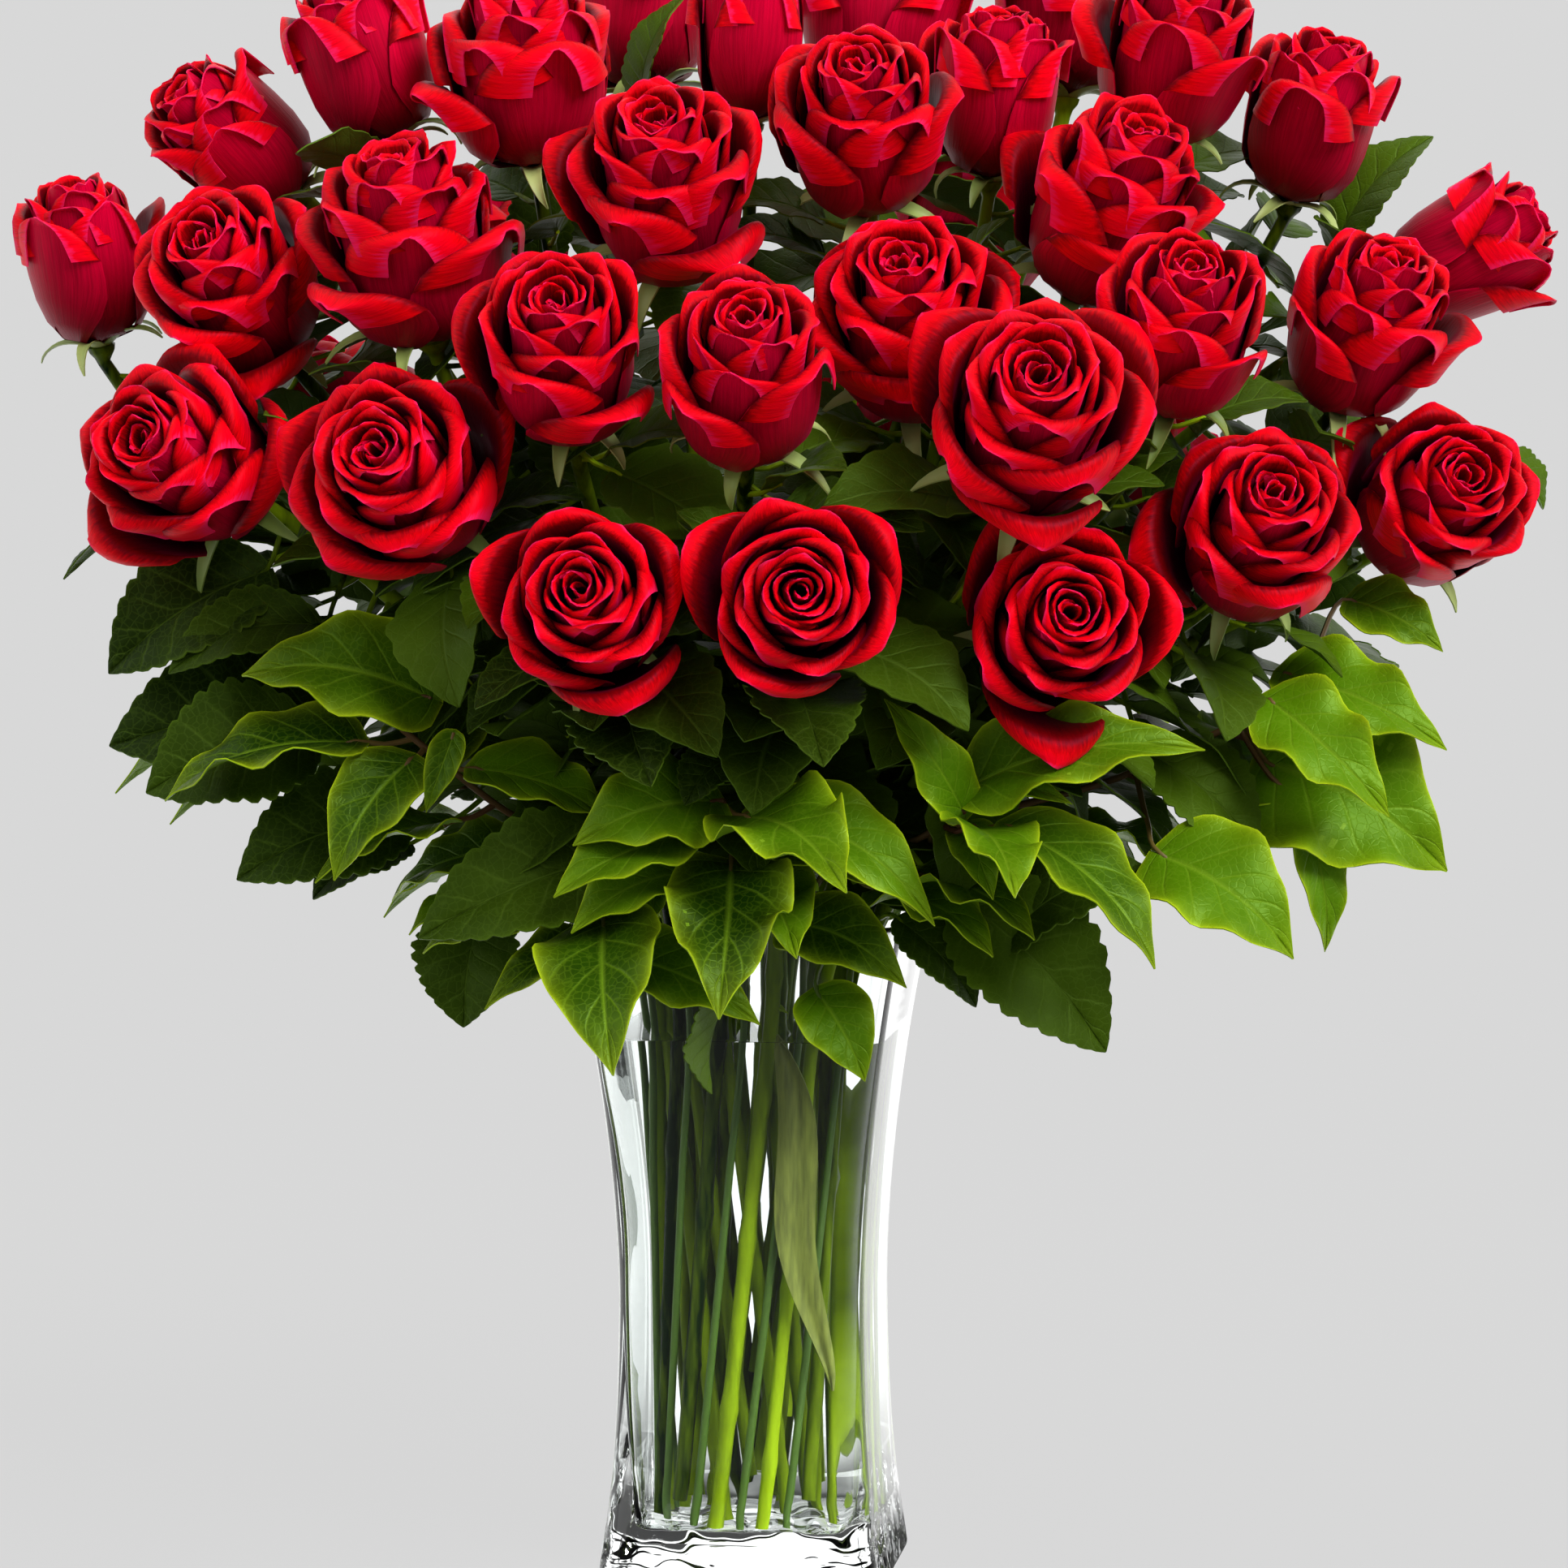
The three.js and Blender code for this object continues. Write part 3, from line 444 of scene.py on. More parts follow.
def swung_leaves(host, index, rule):
    """A leaf at a place on a stem at each of the rule's slopes and turns, one after another."""
    bearing = math.atan2(host[1], host[0])
    for pitch in np.radians(rule["pitches"]):
        for swing in rule["swings"]:
            turn = bearing + math.radians(swing * (1 if index % 2 else -1))
            ahead = on_circle(math.cos(pitch), turn, math.sin(pitch))
            base = host + ahead * STALK
            yield {
                "base": base, "tip": base + ahead * rule["length"], "width": rule["width"],
                "arch": GROWN_ARCH, "face": on_circle(GROWN_FACE, bearing, 1),
            }


def in_bounds(samples, widest):
    """Whether a leaf is off the vase, inside the frame's box and not too far to the side."""
    reach = np.hypot(samples[:, 0], samples[:, 1])
    off_vase = (samples[:, 2] > VASE_HEIGHT + VASE_CLEARANCE) | (reach > VASE_BERTH)
    in_box = (samples > BOX_LOW) & (samples < BOX_HIGH)
    return off_vase.all() and in_box.all() and np.abs(samples[:, 0]).max() < widest


def first_clear_leaf(host, index, rule, spaces, stems, taken):
    """The first leaf at a place on a stem that touches nothing, or None."""
    centres = np.array([space["centre"] for space in spaces])
    radii = np.array([space["radius"] for space in spaces])
    leaves, near = (
        points[np.linalg.norm(points - host, axis=1) < 2 * rule["length"]]
        for points in (np.concatenate(taken), stems)
    )
    for spot in swung_leaves(host, index, rule):
        samples = leaf_samples(spot)
        away = np.linalg.norm(samples[:, None] - centres, axis=2) - radii
        if (
            in_bounds(samples, rule["widest"])
            and away.min() >= BLOOM_CLEARANCE
            and nearest(samples, leaves) >= rule["leaf_clearance"]
            and nearest(samples, near) >= rule["stem_clearance"]
        ):
            return spot
    return None


# Meshes: every piece is gathered from grids of points, worked out as whole arrays.

SHARP = math.radians(60)  # an edge sharper than this is shaded as one


def grid_faces(rows, columns, closed=False):
    """The quads of a grid of points, counter-clockwise seen from the side its normals point to."""
    i, j = np.meshgrid(np.arange(rows - 1), np.arange(columns if closed else columns - 1), indexing="ij")
    here, above, after = i * columns, (i + 1) * columns, (j + 1) % columns
    return np.stack([here + j, here + after, above + after, above + j], -1).reshape(-1, 4)


def fan(centre, ring):
    """Triangles from a centre to each side of a closed ring of points."""
    return np.stack([np.full(len(ring), centre), ring, np.roll(ring, -1)], -1)


def rim_of(rows, columns):
    """The points round the edge of a grid, counter-clockwise."""
    index = np.arange(rows * columns).reshape(rows, columns)
    return np.concatenate([index[0], index[1:, -1], index[-1, -2::-1], index[-2:0:-1, 0]])


def sheet_places(across, along):
    """The place across and along of every point of a grid."""
    v, u = np.meshgrid(along, across, indexing="ij")
    return np.stack([u.ravel(), v.ravel()], -1)


class Piece:
    """One mesh in the making: its points, faces, and for each point its place on the sheet, side and tint."""

    def __init__(self, name):
        self.name = name
        self.points, self.faces, self.finishes = [], [], []
        self.places, self.sides, self.tints = [], [], []
        self.count = 0

    def add(self, points, faces, places, sides, tint, finish):
        """Adds points in millimetres with their faces, all of one finish."""
        self.points.append(points)
        self.places.append(places)
        self.sides.append(np.broadcast_to(sides, len(points)))
        self.tints.append(np.full(len(points), tint))
        for each in faces:
            self.faces.append(each + self.count)
            self.finishes.append(np.full(len(each), finish))
        self.count += len(points)

    def add_sheet(self, grid, thickness, tint, finish=0):
        """A thin closed sheet: the grid's face, its back set off along the normals, and a strip between."""
        rows, columns = grid.shape[:2]
        size = rows * columns
        across, along = np.gradient(grid, axis=1), np.gradient(grid, axis=0)
        offset = unit(np.cross(across, along)) * thickness / 2
        points = np.concatenate([(grid + offset).reshape(-1, 3), (grid - offset).reshape(-1, 3)])
        front = grid_faces(rows, columns)
        rim = rim_of(rows, columns)
        after = np.roll(rim, -1)
        edge = np.stack([after, rim, rim + size, after + size], -1)
        places = np.tile(sheet_places(np.linspace(0, 1, columns), np.linspace(0, 1, rows)), (2, 1))
        sides = np.repeat([0.0, 1.0], size)
        self.add(points, [front, front[:, ::-1] + size, edge], places, sides, tint, finish)

    def add_tube(self, path, radii, sides, tint, finish=0):
        """A round tube along a path, with its ends closed: rings of points square to the path's direction."""
        along = unit(np.gradient(path, axis=0))
        first = np.cross(along, UP)
        first[np.linalg.norm(first, axis=1) < 0.05] = np.array([1.0, 0.0, 0.0])
        first = carried_along(first, along)
        second = np.cross(along, first)
        around = np.arange(sides)
        angle = 2 * math.pi * around / sides
        ring = first[:, None] * np.cos(angle)[:, None] + second[:, None] * np.sin(angle)[:, None]
        rows, size = len(path), len(path) * sides
        grid = path[:, None] + ring * np.reshape(np.broadcast_to(radii, rows), (rows, 1, 1))
        points = np.concatenate([grid.reshape(-1, 3), path[:1], path[-1:]])
        caps = [fan(size, around[::-1]), fan(size + 1, size - sides + around)]
        places = np.concatenate([sheet_places(around / sides, np.linspace(0, 1, rows)), [[0.5, 0], [0.5, 1]]])
        self.add(points, [grid_faces(rows, sides, closed=True), *caps], places, 0.0, tint, finish)

    def make(self, materials, node):
        """Puts the mesh into the scene in metres, in place of its node of the frame."""
        mesh = bpy.data.meshes.new(self.name)
        faces = [face for each in self.faces for face in each.tolist()]
        mesh.from_pydata(np.concatenate(self.points) * MM, [], faces)
        mesh.polygons.foreach_set("material_index", np.concatenate(self.finishes).astype(np.int32))
        mesh.polygons.foreach_set("use_smooth", np.ones(len(faces), bool))
        corners = np.empty(len(mesh.loops), np.int32)
        mesh.loops.foreach_get("vertex_index", corners)
        places = np.concatenate(self.places)[corners]
        mesh.uv_layers.new(name="sheet").data.foreach_set("uv", places.astype(np.float32).ravel())
        for name, values in [("side", self.sides), ("tint", self.tints)]:
            attribute = mesh.attributes.new(name, "FLOAT", "POINT")
            attribute.data.foreach_set("value", np.concatenate(values).astype(np.float32))
        mesh.set_sharp_from_angle(angle=SHARP)
        for material in materials:
            mesh.materials.append(material)
        made = bpy.data.objects.new(self.name, mesh)
        bpy.context.scene.collection.objects.link(made)
        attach(made, "root")
        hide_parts(node)
        return made


def carried_along(first, along):
    """Turns each ring's first direction as little as it can from the ring before, so that no tube twists."""
    carried = first.copy()
    for i in range(len(first)):
        before = carried[max(i - 1, 0)]
        carried[i] = unit(before - along[i] * (before @ along[i]))
    return carried


def summed(steps):
    """The sum of the steps before each point, from 0 at the first one."""
    return np.concatenate([[0], np.cumsum(steps)])


def smooth_path(points, step):
    """A curve through points: between two of them a cubic whose end slopes are set by their neighbours."""
    points = np.asarray(points, float)
    lengths = np.linalg.norm(np.diff(points, axis=0), axis=1)
    slopes = np.gradient(points, summed(lengths), axis=0)
    path = []
    for i, length in enumerate(lengths):
        count = max(2, round(length / step))
        t = (np.arange(count) / count)[:, None]
        path.append(
            (2 * t**3 - 3 * t**2 + 1) * points[i]
            + (t**3 - 2 * t**2 + t) * length * slopes[i]
            + (3 * t**2 - 2 * t**3) * points[i + 1]
            + (t**3 - t**2) * length * slopes[i + 1]
        )
    return np.concatenate([*path, points[-1:]])


# Rose heads

# A petal's lengths are shares of its head's radius. Outwards is from 0 in the heart to 1 at the guard petals.
PETAL_THICKNESS = 0.45
PETAL_ROWS, PETAL_COLUMNS = (7, 7), 13  # points along the body and along the lip, and across
HEART_ROWS, HEART_COLUMNS = (6, 4), 11
HEART_SHARE = 0.35  # the petals this far outwards have the heart's rows and columns
FEWEST_PETALS, OPEN_PETALS = 21, 6  # petals in a closed head, and how many more an open one has
LOOSE_PETALS = (0.6, 3.4)  # how many of an open head's last petals hang loose
LOOSENESS = (0.25, 0.75)
GOLDEN = math.radians(137.5)
TURN_SLIP, TILT_SLIP = 0.12, 0.05  # how far a petal's turn and tilt may be off, in radians

LIP_FROM = 0.76  # share of a petal's length at which its lip begins
HEART_REACH, OUTER_REACH = 0.09, 0.67  # how far from the axis the heart stands, and what the outer petals add
CUP_BELLY, FOOT_REACH = 1.22, 0.1  # swell of a petal above its foot, and how far from the axis it starts
CROWN, CROWN_SWELL = 0.6, 0.15  # height of the lips, and how much higher they stand a third of the way out
CLOSED_FALL, OPEN_FALL = 0.04, 0.6  # how much lower the outer lips stand, and what opening adds
LOOSE_FALL, LOOSE_REACH = 0.3, 0.2  # how much lower and further out a loose petal's lip stands
LOOSE_NARROWING, LOOSE_LENGTH = 0.3, 0.35  # how much narrower it is, and how much longer its lip
SIDE_FALL = 0.25  # how much sooner a petal's body ends at its sides
PEELED, PEELED_CLOSED = (0.7, 1.15), (-0.75, 0.35)  # range of a lip's roll, and what a closed head adds to it
HEART_ROLL, OUTER_ROLL, OPEN_ROLL = 24, 46, 90  # a lip's roll in degrees, and what outwards and opening add
HEART_LIP, OUTER_LIP, OPEN_LIP = 0.05, 0.11, 0.14  # a lip's length, and what outwards and opening add
FOOT_SPREAD, FULL_AT, LIP_LOSS = 0.28, 0.58, 0.2  # width at the hip, where it is full, and what the lip loses
OUTER_WIDTH, HEART_WIDTH = 62, 93  # half a petal's width in degrees round the axis, and what the heart adds
SKEW = 0.45  # how far a petal's lip may lean over sideways, in radians


def petal_places(rows):
    """Shares along a petal: closer together towards the end of its body, and again towards its lip's end."""
    body = LIP_FROM * np.linspace(0, 1, rows[0])[:-1] ** 0.8
    lip = 1 - (1 - LIP_FROM) * np.linspace(1, 0, rows[1]) ** 1.3
    return np.concatenate([body, lip])[:, None]


def petal_body(head, t, along, across, loose, rng):
    """How far out and how high a petal's body is, and its lean from upright where the lip begins."""
    radius, opened = head["radius"], head["opened"]
    cup = radius * (HEART_REACH + OUTER_REACH * t**0.78) * rng.uniform(0.97, 1.03)
    fall = (CLOSED_FALL + OPEN_FALL * opened) * t**2.4
    crown = CROWN + CROWN_SWELL * math.sin(math.pi * min(1.5 * t, 1)) - fall
    lip_height = radius * (crown - LOOSE_FALL * loose + rng.uniform(-0.04, 0.04))
    lip_reach = cup * (0.74 + 0.34 * t) + (0.1 * opened * t**2 + LOOSE_REACH * loose) * radius
    low = -0.96 * head["depth"] * radius
    share = np.minimum(along / LIP_FROM, 1) * (1 - SIDE_FALL * np.abs(across) ** 3.4 * (0.3 + 0.7 * t))
    reaches = (FOOT_REACH * radius, CUP_BELLY * cup, cup * (1.05 - 0.1 * opened * t), lip_reach)
    heights = (low, low + 0.04 * radius, lip_height - 0.45 * (lip_height - low), lip_height)
    lean = math.atan2(reaches[3] - reaches[2], heights[3] - heights[2])
    return bezier(*reaches, share), bezier(*heights, share), lean


def petal_lip(head, t, fold, across, loose, lean, rng):
    """How much further out and up each point of a lip is than the body's end, as its heading turns out."""
    radius, opened = head["radius"], head["opened"]
    side = np.abs(across)
    peeled = rng.uniform(*PEELED) + (1 - opened) * rng.uniform(*PEELED_CLOSED)
    roll = math.radians(HEART_ROLL + (OUTER_ROLL + OPEN_ROLL * opened) * t) * (1 - 0.45 * loose) * peeled
    heading = lean + roll * (0.8 + 0.2 * side) * smooth(fold / 0.75)
    length = radius * (HEART_LIP + (OUTER_LIP + OPEN_LIP * opened) * t**1.4)
    length = length * (1 + LOOSE_LENGTH * loose) * (0.4 + 0.6 * peeled)
    step = length * np.diff(fold, axis=0, prepend=0) * (1 - (0.25 + 0.3 * opened) * side**2.5)
    return np.cumsum(np.sin(heading) * step, axis=0), np.cumsum(np.cos(heading) * step, axis=0)


def petal(head, t, rng, rows, columns, loose=0.0):
    """One petal about the head's own axis, +Z, with t from 0 in the heart to 1 outermost.

    Its middle line rises from the hip on a cubic that swells to the cup's radius and ends at the lip. The
    lip goes on from it with a heading that turns outwards and down. Across, the line is swept round the axis
    through the petal's width, which is narrow at the hip, full above it and drawn in to a point along the
    lip. The sides end lower than the middle, and one side stands further out than the other, so that the
    petals overlap. A loose petal falls outwards, lower and narrower, with a longer tip. Sines across it wave
    its edge.
    """
    across = np.linspace(-1, 1, columns)[None, :]
    along = petal_places(rows)
    fold = np.clip((along - LIP_FROM) / (1 - LIP_FROM), 0, 1)
    reach, height, lean = petal_body(head, t, along, across, loose, rng)
    further, higher = petal_lip(head, t, fold, across, loose, lean, rng)
    spread = FOOT_SPREAD + (1 - FOOT_SPREAD) * smooth(along / FULL_AT)
    spread = spread - LIP_LOSS * t * smooth((along - 0.55) / 0.45)
    spread = spread * np.sqrt(1 - ((0.88 + 0.1 * t * head["opened"]) * fold) ** 2.6)
    width = math.radians(OUTER_WIDTH + HEART_WIDTH * (1 - t) ** 2.5) * (1 - LOOSE_NARROWING * loose)
    phases = rng.uniform(0, 2 * math.pi, 3)
    skew = rng.uniform(0, SKEW) * t
    wavy = head["radius"] * along**3
    reach = (reach + further) * (1 + (0.05 + 0.1 * (1 - t)) * across)
    reach = reach + wavy * (0.04 * t * across**2 + 0.025 * np.sin(4 * across + phases[0]))
    height = height + higher
    height = height + wavy * (0.03 * np.sin(5 * across + phases[1]) + 0.012 * np.sin(7 * across + phases[2]))
    angle = across * spread * width + skew * along**2
    return np.stack([reach * np.cos(angle), reach * np.sin(angle), height + 0 * angle], -1)


def rose_head(head, velvet):
    """A head: petals turned on by the golden angle from the tight heart out to the folded guard petals.

    The last petals of an open head hang loose.
    """
    rng = np.random.default_rng(HEAD_SEED + head["index"])
    count = FEWEST_PETALS + round(OPEN_PETALS * head["opened"])
    loose_from = count - round(rng.uniform(*LOOSE_PETALS) * head["opened"])
    first, second = sideways(head["axis"])
    frame_of_head = np.stack([first, second, head["axis"]])
    piece = Piece(f"rose_{head['index'] + 1:02d}")
    start = rng.uniform(0, 2 * math.pi)
    for k in range(count):
        t = k / (count - 1)
        rows, columns = (HEART_ROWS, HEART_COLUMNS) if t < HEART_SHARE else (PETAL_ROWS, PETAL_COLUMNS)
        loose = rng.uniform(*LOOSENESS) if k >= loose_from else 0
        grid = petal(head, t, rng, rows, columns, loose)
        turn = start + GOLDEN * k + rng.uniform(-TURN_SLIP, TURN_SLIP)
        tilt = rng.uniform(-TILT_SLIP, TILT_SLIP, 2) * t
        grid = grid @ turned_about_axis(turn) @ tipped(*tilt)
        piece.add_sheet(head["centre"] + grid @ frame_of_head, PETAL_THICKNESS, rng.uniform(0, 1))
    piece.make([velvet], f"bloom_{head['index'] + 1:02d}")


def turned_about_axis(angle):
    """A turn about +Z, for rows of points."""
    c, s = math.cos(angle), math.sin(angle)
    return np.array([[c, s, 0], [-s, c, 0], [0, 0, 1]])


def tipped(about_x, about_y):
    """A small tip about +X and +Y, for rows of points."""
    return np.array([[1, 0, -about_y], [0, 1, about_x], [about_y, -about_x, 1]])


# Stems, hips and sepals

STEM, LEAF, SEPAL, SUNKEN = 0, 1, 2, 3  # finishes of a stems piece, in the order of its materials
PATH_STEP, STALK_STEP = 6, 4  # from ring to ring of a stem, and of a leaf's stalk
STEM_SIDES, THORN_SIDES, STALK_SIDES = 8, 5, 6
WATER_SHARE, TWIG_SHARE = 0.75, 0.7  # share of the way to the neck on which a stem and a twig are straight
TWIG_TAPER = 0.75  # a twig's radius at its tip, as a share of that at its foot
SLIM, STOUT = 0.88, 1.16  # thinnest and thickest stem, as shares of the usual radius
FIRST_SCAR, SCAR_SPACING, SCAR_FREE = (20, 60), (38, 62), 30  # up from the foot, apart, and free at the top
SCAR_SWELL, SCAR_LENGTH = 0.7, 4
HIP_PLACES = (0.35, 0.7, 1.0, 1.15)  # along the hip
HIP_SWELL = np.array([0.62, 0.9, 0.98, 0.6])  # and how thick it is there
SEPALS, SEPAL_ROWS, SEPAL_COLUMNS, SEPAL_THICKNESS = 5, 10, 5, 0.5
SEPAL_LENGTH, SEPAL_WIDTH, SEPAL_ROOT = (0.75, 1.1), 0.13, 0.12  # as shares of the head's radius
SEPAL_SLIP, SEPAL_DRIFT = 0.2, 0.25  # how far it may be off in its turn, in radians, and sideways at its end
SEPAL_START, SEPAL_END = (15, 40), (-120, -35)  # its slope in degrees where it leaves the hip and at its end
SUNKEN_ROWS, SUNKEN_COLUMNS = 24, 7
SUNKEN_TOP, SUNKEN_FOOT, SUNKEN_WIDTH = np.array([8, -39, 192]), np.array([24, -38, 70]), 14
SUNKEN_GROUP = 8  # the leaf comes off a stem of this group
THORNS, THORN_ZONE = 4, (0.45, 0.85)  # thorns of a stem, and the shares of it between which they stand
THORN_RADII = [1.5, 0.8, 0.1]


def rose_stem(piece, line, rng):
    """A stem: swollen a little at each old leaf scar, swelling into the hip under its head."""
    foot, neck, points, head = line["foot"], line["neck"], line["points"], line["head"]
    top = points[-1]
    low = top - head["axis"] * HIP_LENGTH
    path = smooth_path([foot, foot + (neck - foot) * WATER_SHARE, *points[:-1], low], PATH_STEP)
    places = summed(np.linalg.norm(np.diff(path, axis=0), axis=1))
    radii = np.full(len(path), STEM_RADIUS * rng.uniform(SLIM, STOUT))
    scar = rng.uniform(*FIRST_SCAR)
    while scar < places[-1] - SCAR_FREE:
        radii += SCAR_SWELL * np.exp(-(((places - scar) / SCAR_LENGTH) ** 2))
        scar += rng.uniform(*SCAR_SPACING)
    hip_radius = 0.16 * head["radius"] + 1
    path = np.concatenate([path, [low + (top - low) * share for share in HIP_PLACES]])
    radii = np.concatenate([radii, hip_radius * HIP_SWELL])
    piece.add_tube(path, radii, STEM_SIDES, rng.uniform(0, 1) ** 1.5, STEM)
    for k in range(SEPALS):
        add_sepal(piece, head, top, k, rng)
    add_thorns(piece, path, places, rng)


def add_sepal(piece, head, top, k, rng):
    """A sepal: a strip that narrows to a thread, leaving the hip outwards and curling down."""
    out = square_to(head["axis"], 2 * math.pi * (k + 0.5) / SEPALS + rng.uniform(-SEPAL_SLIP, SEPAL_SLIP))
    beside = np.cross(head["axis"], out)
    radius = head["radius"]
    s = np.linspace(0, 1, SEPAL_ROWS)
    length = radius * rng.uniform(*SEPAL_LENGTH)
    start, end = math.radians(rng.uniform(*SEPAL_START)), math.radians(rng.uniform(*SEPAL_END))
    slope = start + (end - start) * s**1.3
    step = length / (SEPAL_ROWS - 1)
    reach = SEPAL_ROOT * radius + summed(np.cos(slope[:-1])) * step
    height = summed(np.sin(slope[:-1])) * step
    drift = rng.uniform(-SEPAL_DRIFT, SEPAL_DRIFT) * length * s**2
    middle = top + out * reach[:, None] + head["axis"] * height[:, None] + beside * drift[:, None]
    half = radius * SEPAL_WIDTH * (1 - s) ** 0.9 * (0.75 + 0.8 * s) + 0.25
    side = np.linspace(-1, 1, SEPAL_COLUMNS)
    over = -out * np.sin(slope)[:, None] + head["axis"] * np.cos(slope)[:, None]
    grid = middle[:, None] + beside * (half[:, None] * side)[..., None]
    grid = grid + over[:, None] * (0.35 * half[:, None] * side**2)[..., None]
    piece.add_sheet(grid, SEPAL_THICKNESS, rng.uniform(0, 1), SEPAL)


def add_sunken_leaf(piece, rng):
    """A long faded leaf that hangs down in the water between the stems and the glass, bent along the wall."""
    s = np.linspace(0, 1, SUNKEN_ROWS)[:, None]
    side = np.linspace(-1, 1, SUNKEN_COLUMNS)[None, :]
    reach = SUNKEN_WIDTH / 2 * (np.sin(math.pi * s**0.8) ** 0.8 + 0.02) * side
    middle = SUNKEN_TOP + (SUNKEN_FOOT - SUNKEN_TOP) * s
    x = middle[:, :1] + reach + 3 * np.sin(2.5 * math.pi * s)
    y = middle[:, 1:2] + 0.5 * np.sin(4 * side + 3 * s) + 0.4 * np.cos(9 * s + side)
    grid = np.stack([x, y, middle[:, 2:] + 0.15 * reach], -1)
    piece.add_sheet(grid, BLADE, rng.uniform(0, 1), SUNKEN)


def add_thorns(piece, path, places, rng):
    """Thorns: short hooked cones that stand out of the stem and point down a little."""
    for _ in range(THORNS):
        at = rng.uniform(*THORN_ZONE) * places[-1]
        i = int(np.searchsorted(places, at))
        along = unit(path[i + 1] - path[i])
        out = square_to(along, rng.uniform(0, 2 * math.pi))
        root = path[i] + out * (STEM_RADIUS - 0.6)
        thorn = np.array([root, root + out * 1.6 - along * 0.4, root + out * 3.6 - along * 1.8])
        piece.add_tube(thorn, THORN_RADII, THORN_SIDES, 1.0, STEM)


# Leaves

LEAF_ROWS, TOOTH_ROWS = 23, 3  # rows of a smooth-edged leaf, and rows to a tooth of a toothed one
TIP_HALF = 0.012  # half width left at a leaf's two ends, as a share of its fullest
VEIN_GROOVE, FLUTTER = 0.025, 0.02  # the midrib's groove and the edge's flutter, as shares of the width
STALK_RADII = (1.1, 0.75)  # at the stem and at the leaf
STALK_SAG = 0.08  # as a share of the stalk's length
STALK_SUNK = 3  # how far a stalk runs on into its leaf

ROSE_STYLE = {
    "teeth": 12, "tooth": 0.09, "outline": (0.5, 0.85), "lobe": 0.03, "curl": 0.03,
    "wave": 0.03, "bays": 2, "ruffle": 0.02, "columns": [-1, -0.72, -0.4, -0.1, 0, 0.1, 0.4, 0.72, 1],
}
SPRAY_STYLE = {
    "teeth": 0, "tooth": 0, "outline": (0.42, 1.05), "lobe": 0.07, "curl": 0.05,
    "wave": 0.05, "bays": 2.6, "ruffle": 0.1, "columns": [-1, -0.85, -0.6, -0.3, 0, 0.3, 0.6, 0.85, 1],
}
FILLER_STYLE = {**ROSE_STYLE, "teeth": 6, "columns": [-1, -0.5, 0, 0.5, 1]}
PAINTED_SIDE_LIGHT = 0.42  # painted light: how much brighter a leaf's colour is made at the right end of the bunch, where the key light falls, and how much duller at the left


def leaf_rows(teeth):
    """Shares along a leaf for its rows: three to a tooth on a toothed edge, closer at the two ends."""
    s = np.linspace(0, 1, TOOTH_ROWS * teeth + 1 if teeth else LEAF_ROWS)
    return 0.55 * s + 0.45 * (0.5 - 0.5 * np.cos(math.pi * s))


def leaf_blade(spot, style, rng):
    """A leaf's grid, with an outline of t to a power times what is left of t to a power.

    It is folded along the midrib, arched, waved and curled. A toothed edge widens along each tooth and
    springs back. The lobes of a heart-shaped base reach behind it.
    """
    t = leaf_rows(style["teeth"])
    side = np.array(style["columns"])
    a, b = style["outline"]
    peak = a / (a + b)
    half = (t**a * (1 - t) ** b) / (peak**a * (1 - peak) ** b)
    if style["teeth"]:
        half = half * (1 - style["tooth"] * (np.arange(len(t)) % TOOTH_ROWS == 0))
    half = np.maximum(half, TIP_HALF)
    at = np.repeat(t[:, None], len(side), 1)
    at = at - style["lobe"] * np.abs(side) ** 1.5 * (1 - at) ** 5
    grid = leaf_points(spot, at, half[:, None] * side)
    run, top, across = leaf_axes(spot)
    length, width = np.linalg.norm(run), spot["width"]
    phase = rng.uniform(0, 2 * math.pi)
    edge = np.abs(side) ** 2.6 * half[:, None]
    bays = np.cos(2 * math.pi * style["bays"] * t[:, None] ** 1.2 + phase + 1.3 * np.sign(side))
    wave = -np.sign(side) * np.cos(math.pi * (t[:, None] - 0.16) / 0.21) * style["wave"] * width
    wave = wave + bays * style["ruffle"] * width
    flutter = FLUTTER * width * np.sin(9 * t[:, None] + phase + 2 * side)
    groove = -VEIN_GROOVE * width * np.exp(-((side / 0.12) ** 2)) * np.minimum(half * 3, 1)[:, None]
    curl = -style["curl"] * length * np.maximum(t - 0.6, 0)[:, None] ** 2 * 6
    drift = rng.uniform(-0.04, 0.04) * length * np.sin(math.pi * t)[:, None]
    lift = (wave + flutter) * edge + groove + curl
    return grid + top * lift[..., None] + across * (drift + 0 * side)[..., None]


def add_leaf(piece, spot, style, rng):
    """A leaf with its stalk, which sags a little on its way from the stem."""
    # painted light: the leaf's tint is raised towards the right of the bunch and lowered towards the left
    painted_light = PAINTED_SIDE_LIGHT * spot["tip"][0] / BOX_HIGH[0]
    piece.add_sheet(leaf_blade(spot, style, rng), BLADE, rng.uniform(0, 1) + painted_light, LEAF)
    host, base = spot["host"], spot["base"]
    into = unit(spot["tip"] - base) * STALK_SUNK
    sag = UP * -STALK_SAG * np.linalg.norm(base - host)
    stalk = smooth_path([host, (host + base) / 2 + sag, base, base + into], STALK_STEP)
    piece.add_tube(stalk, np.linspace(*STALK_RADII, len(stalk)), STALK_SIDES, rng.uniform(0, 1), STEM)


# Vase and water

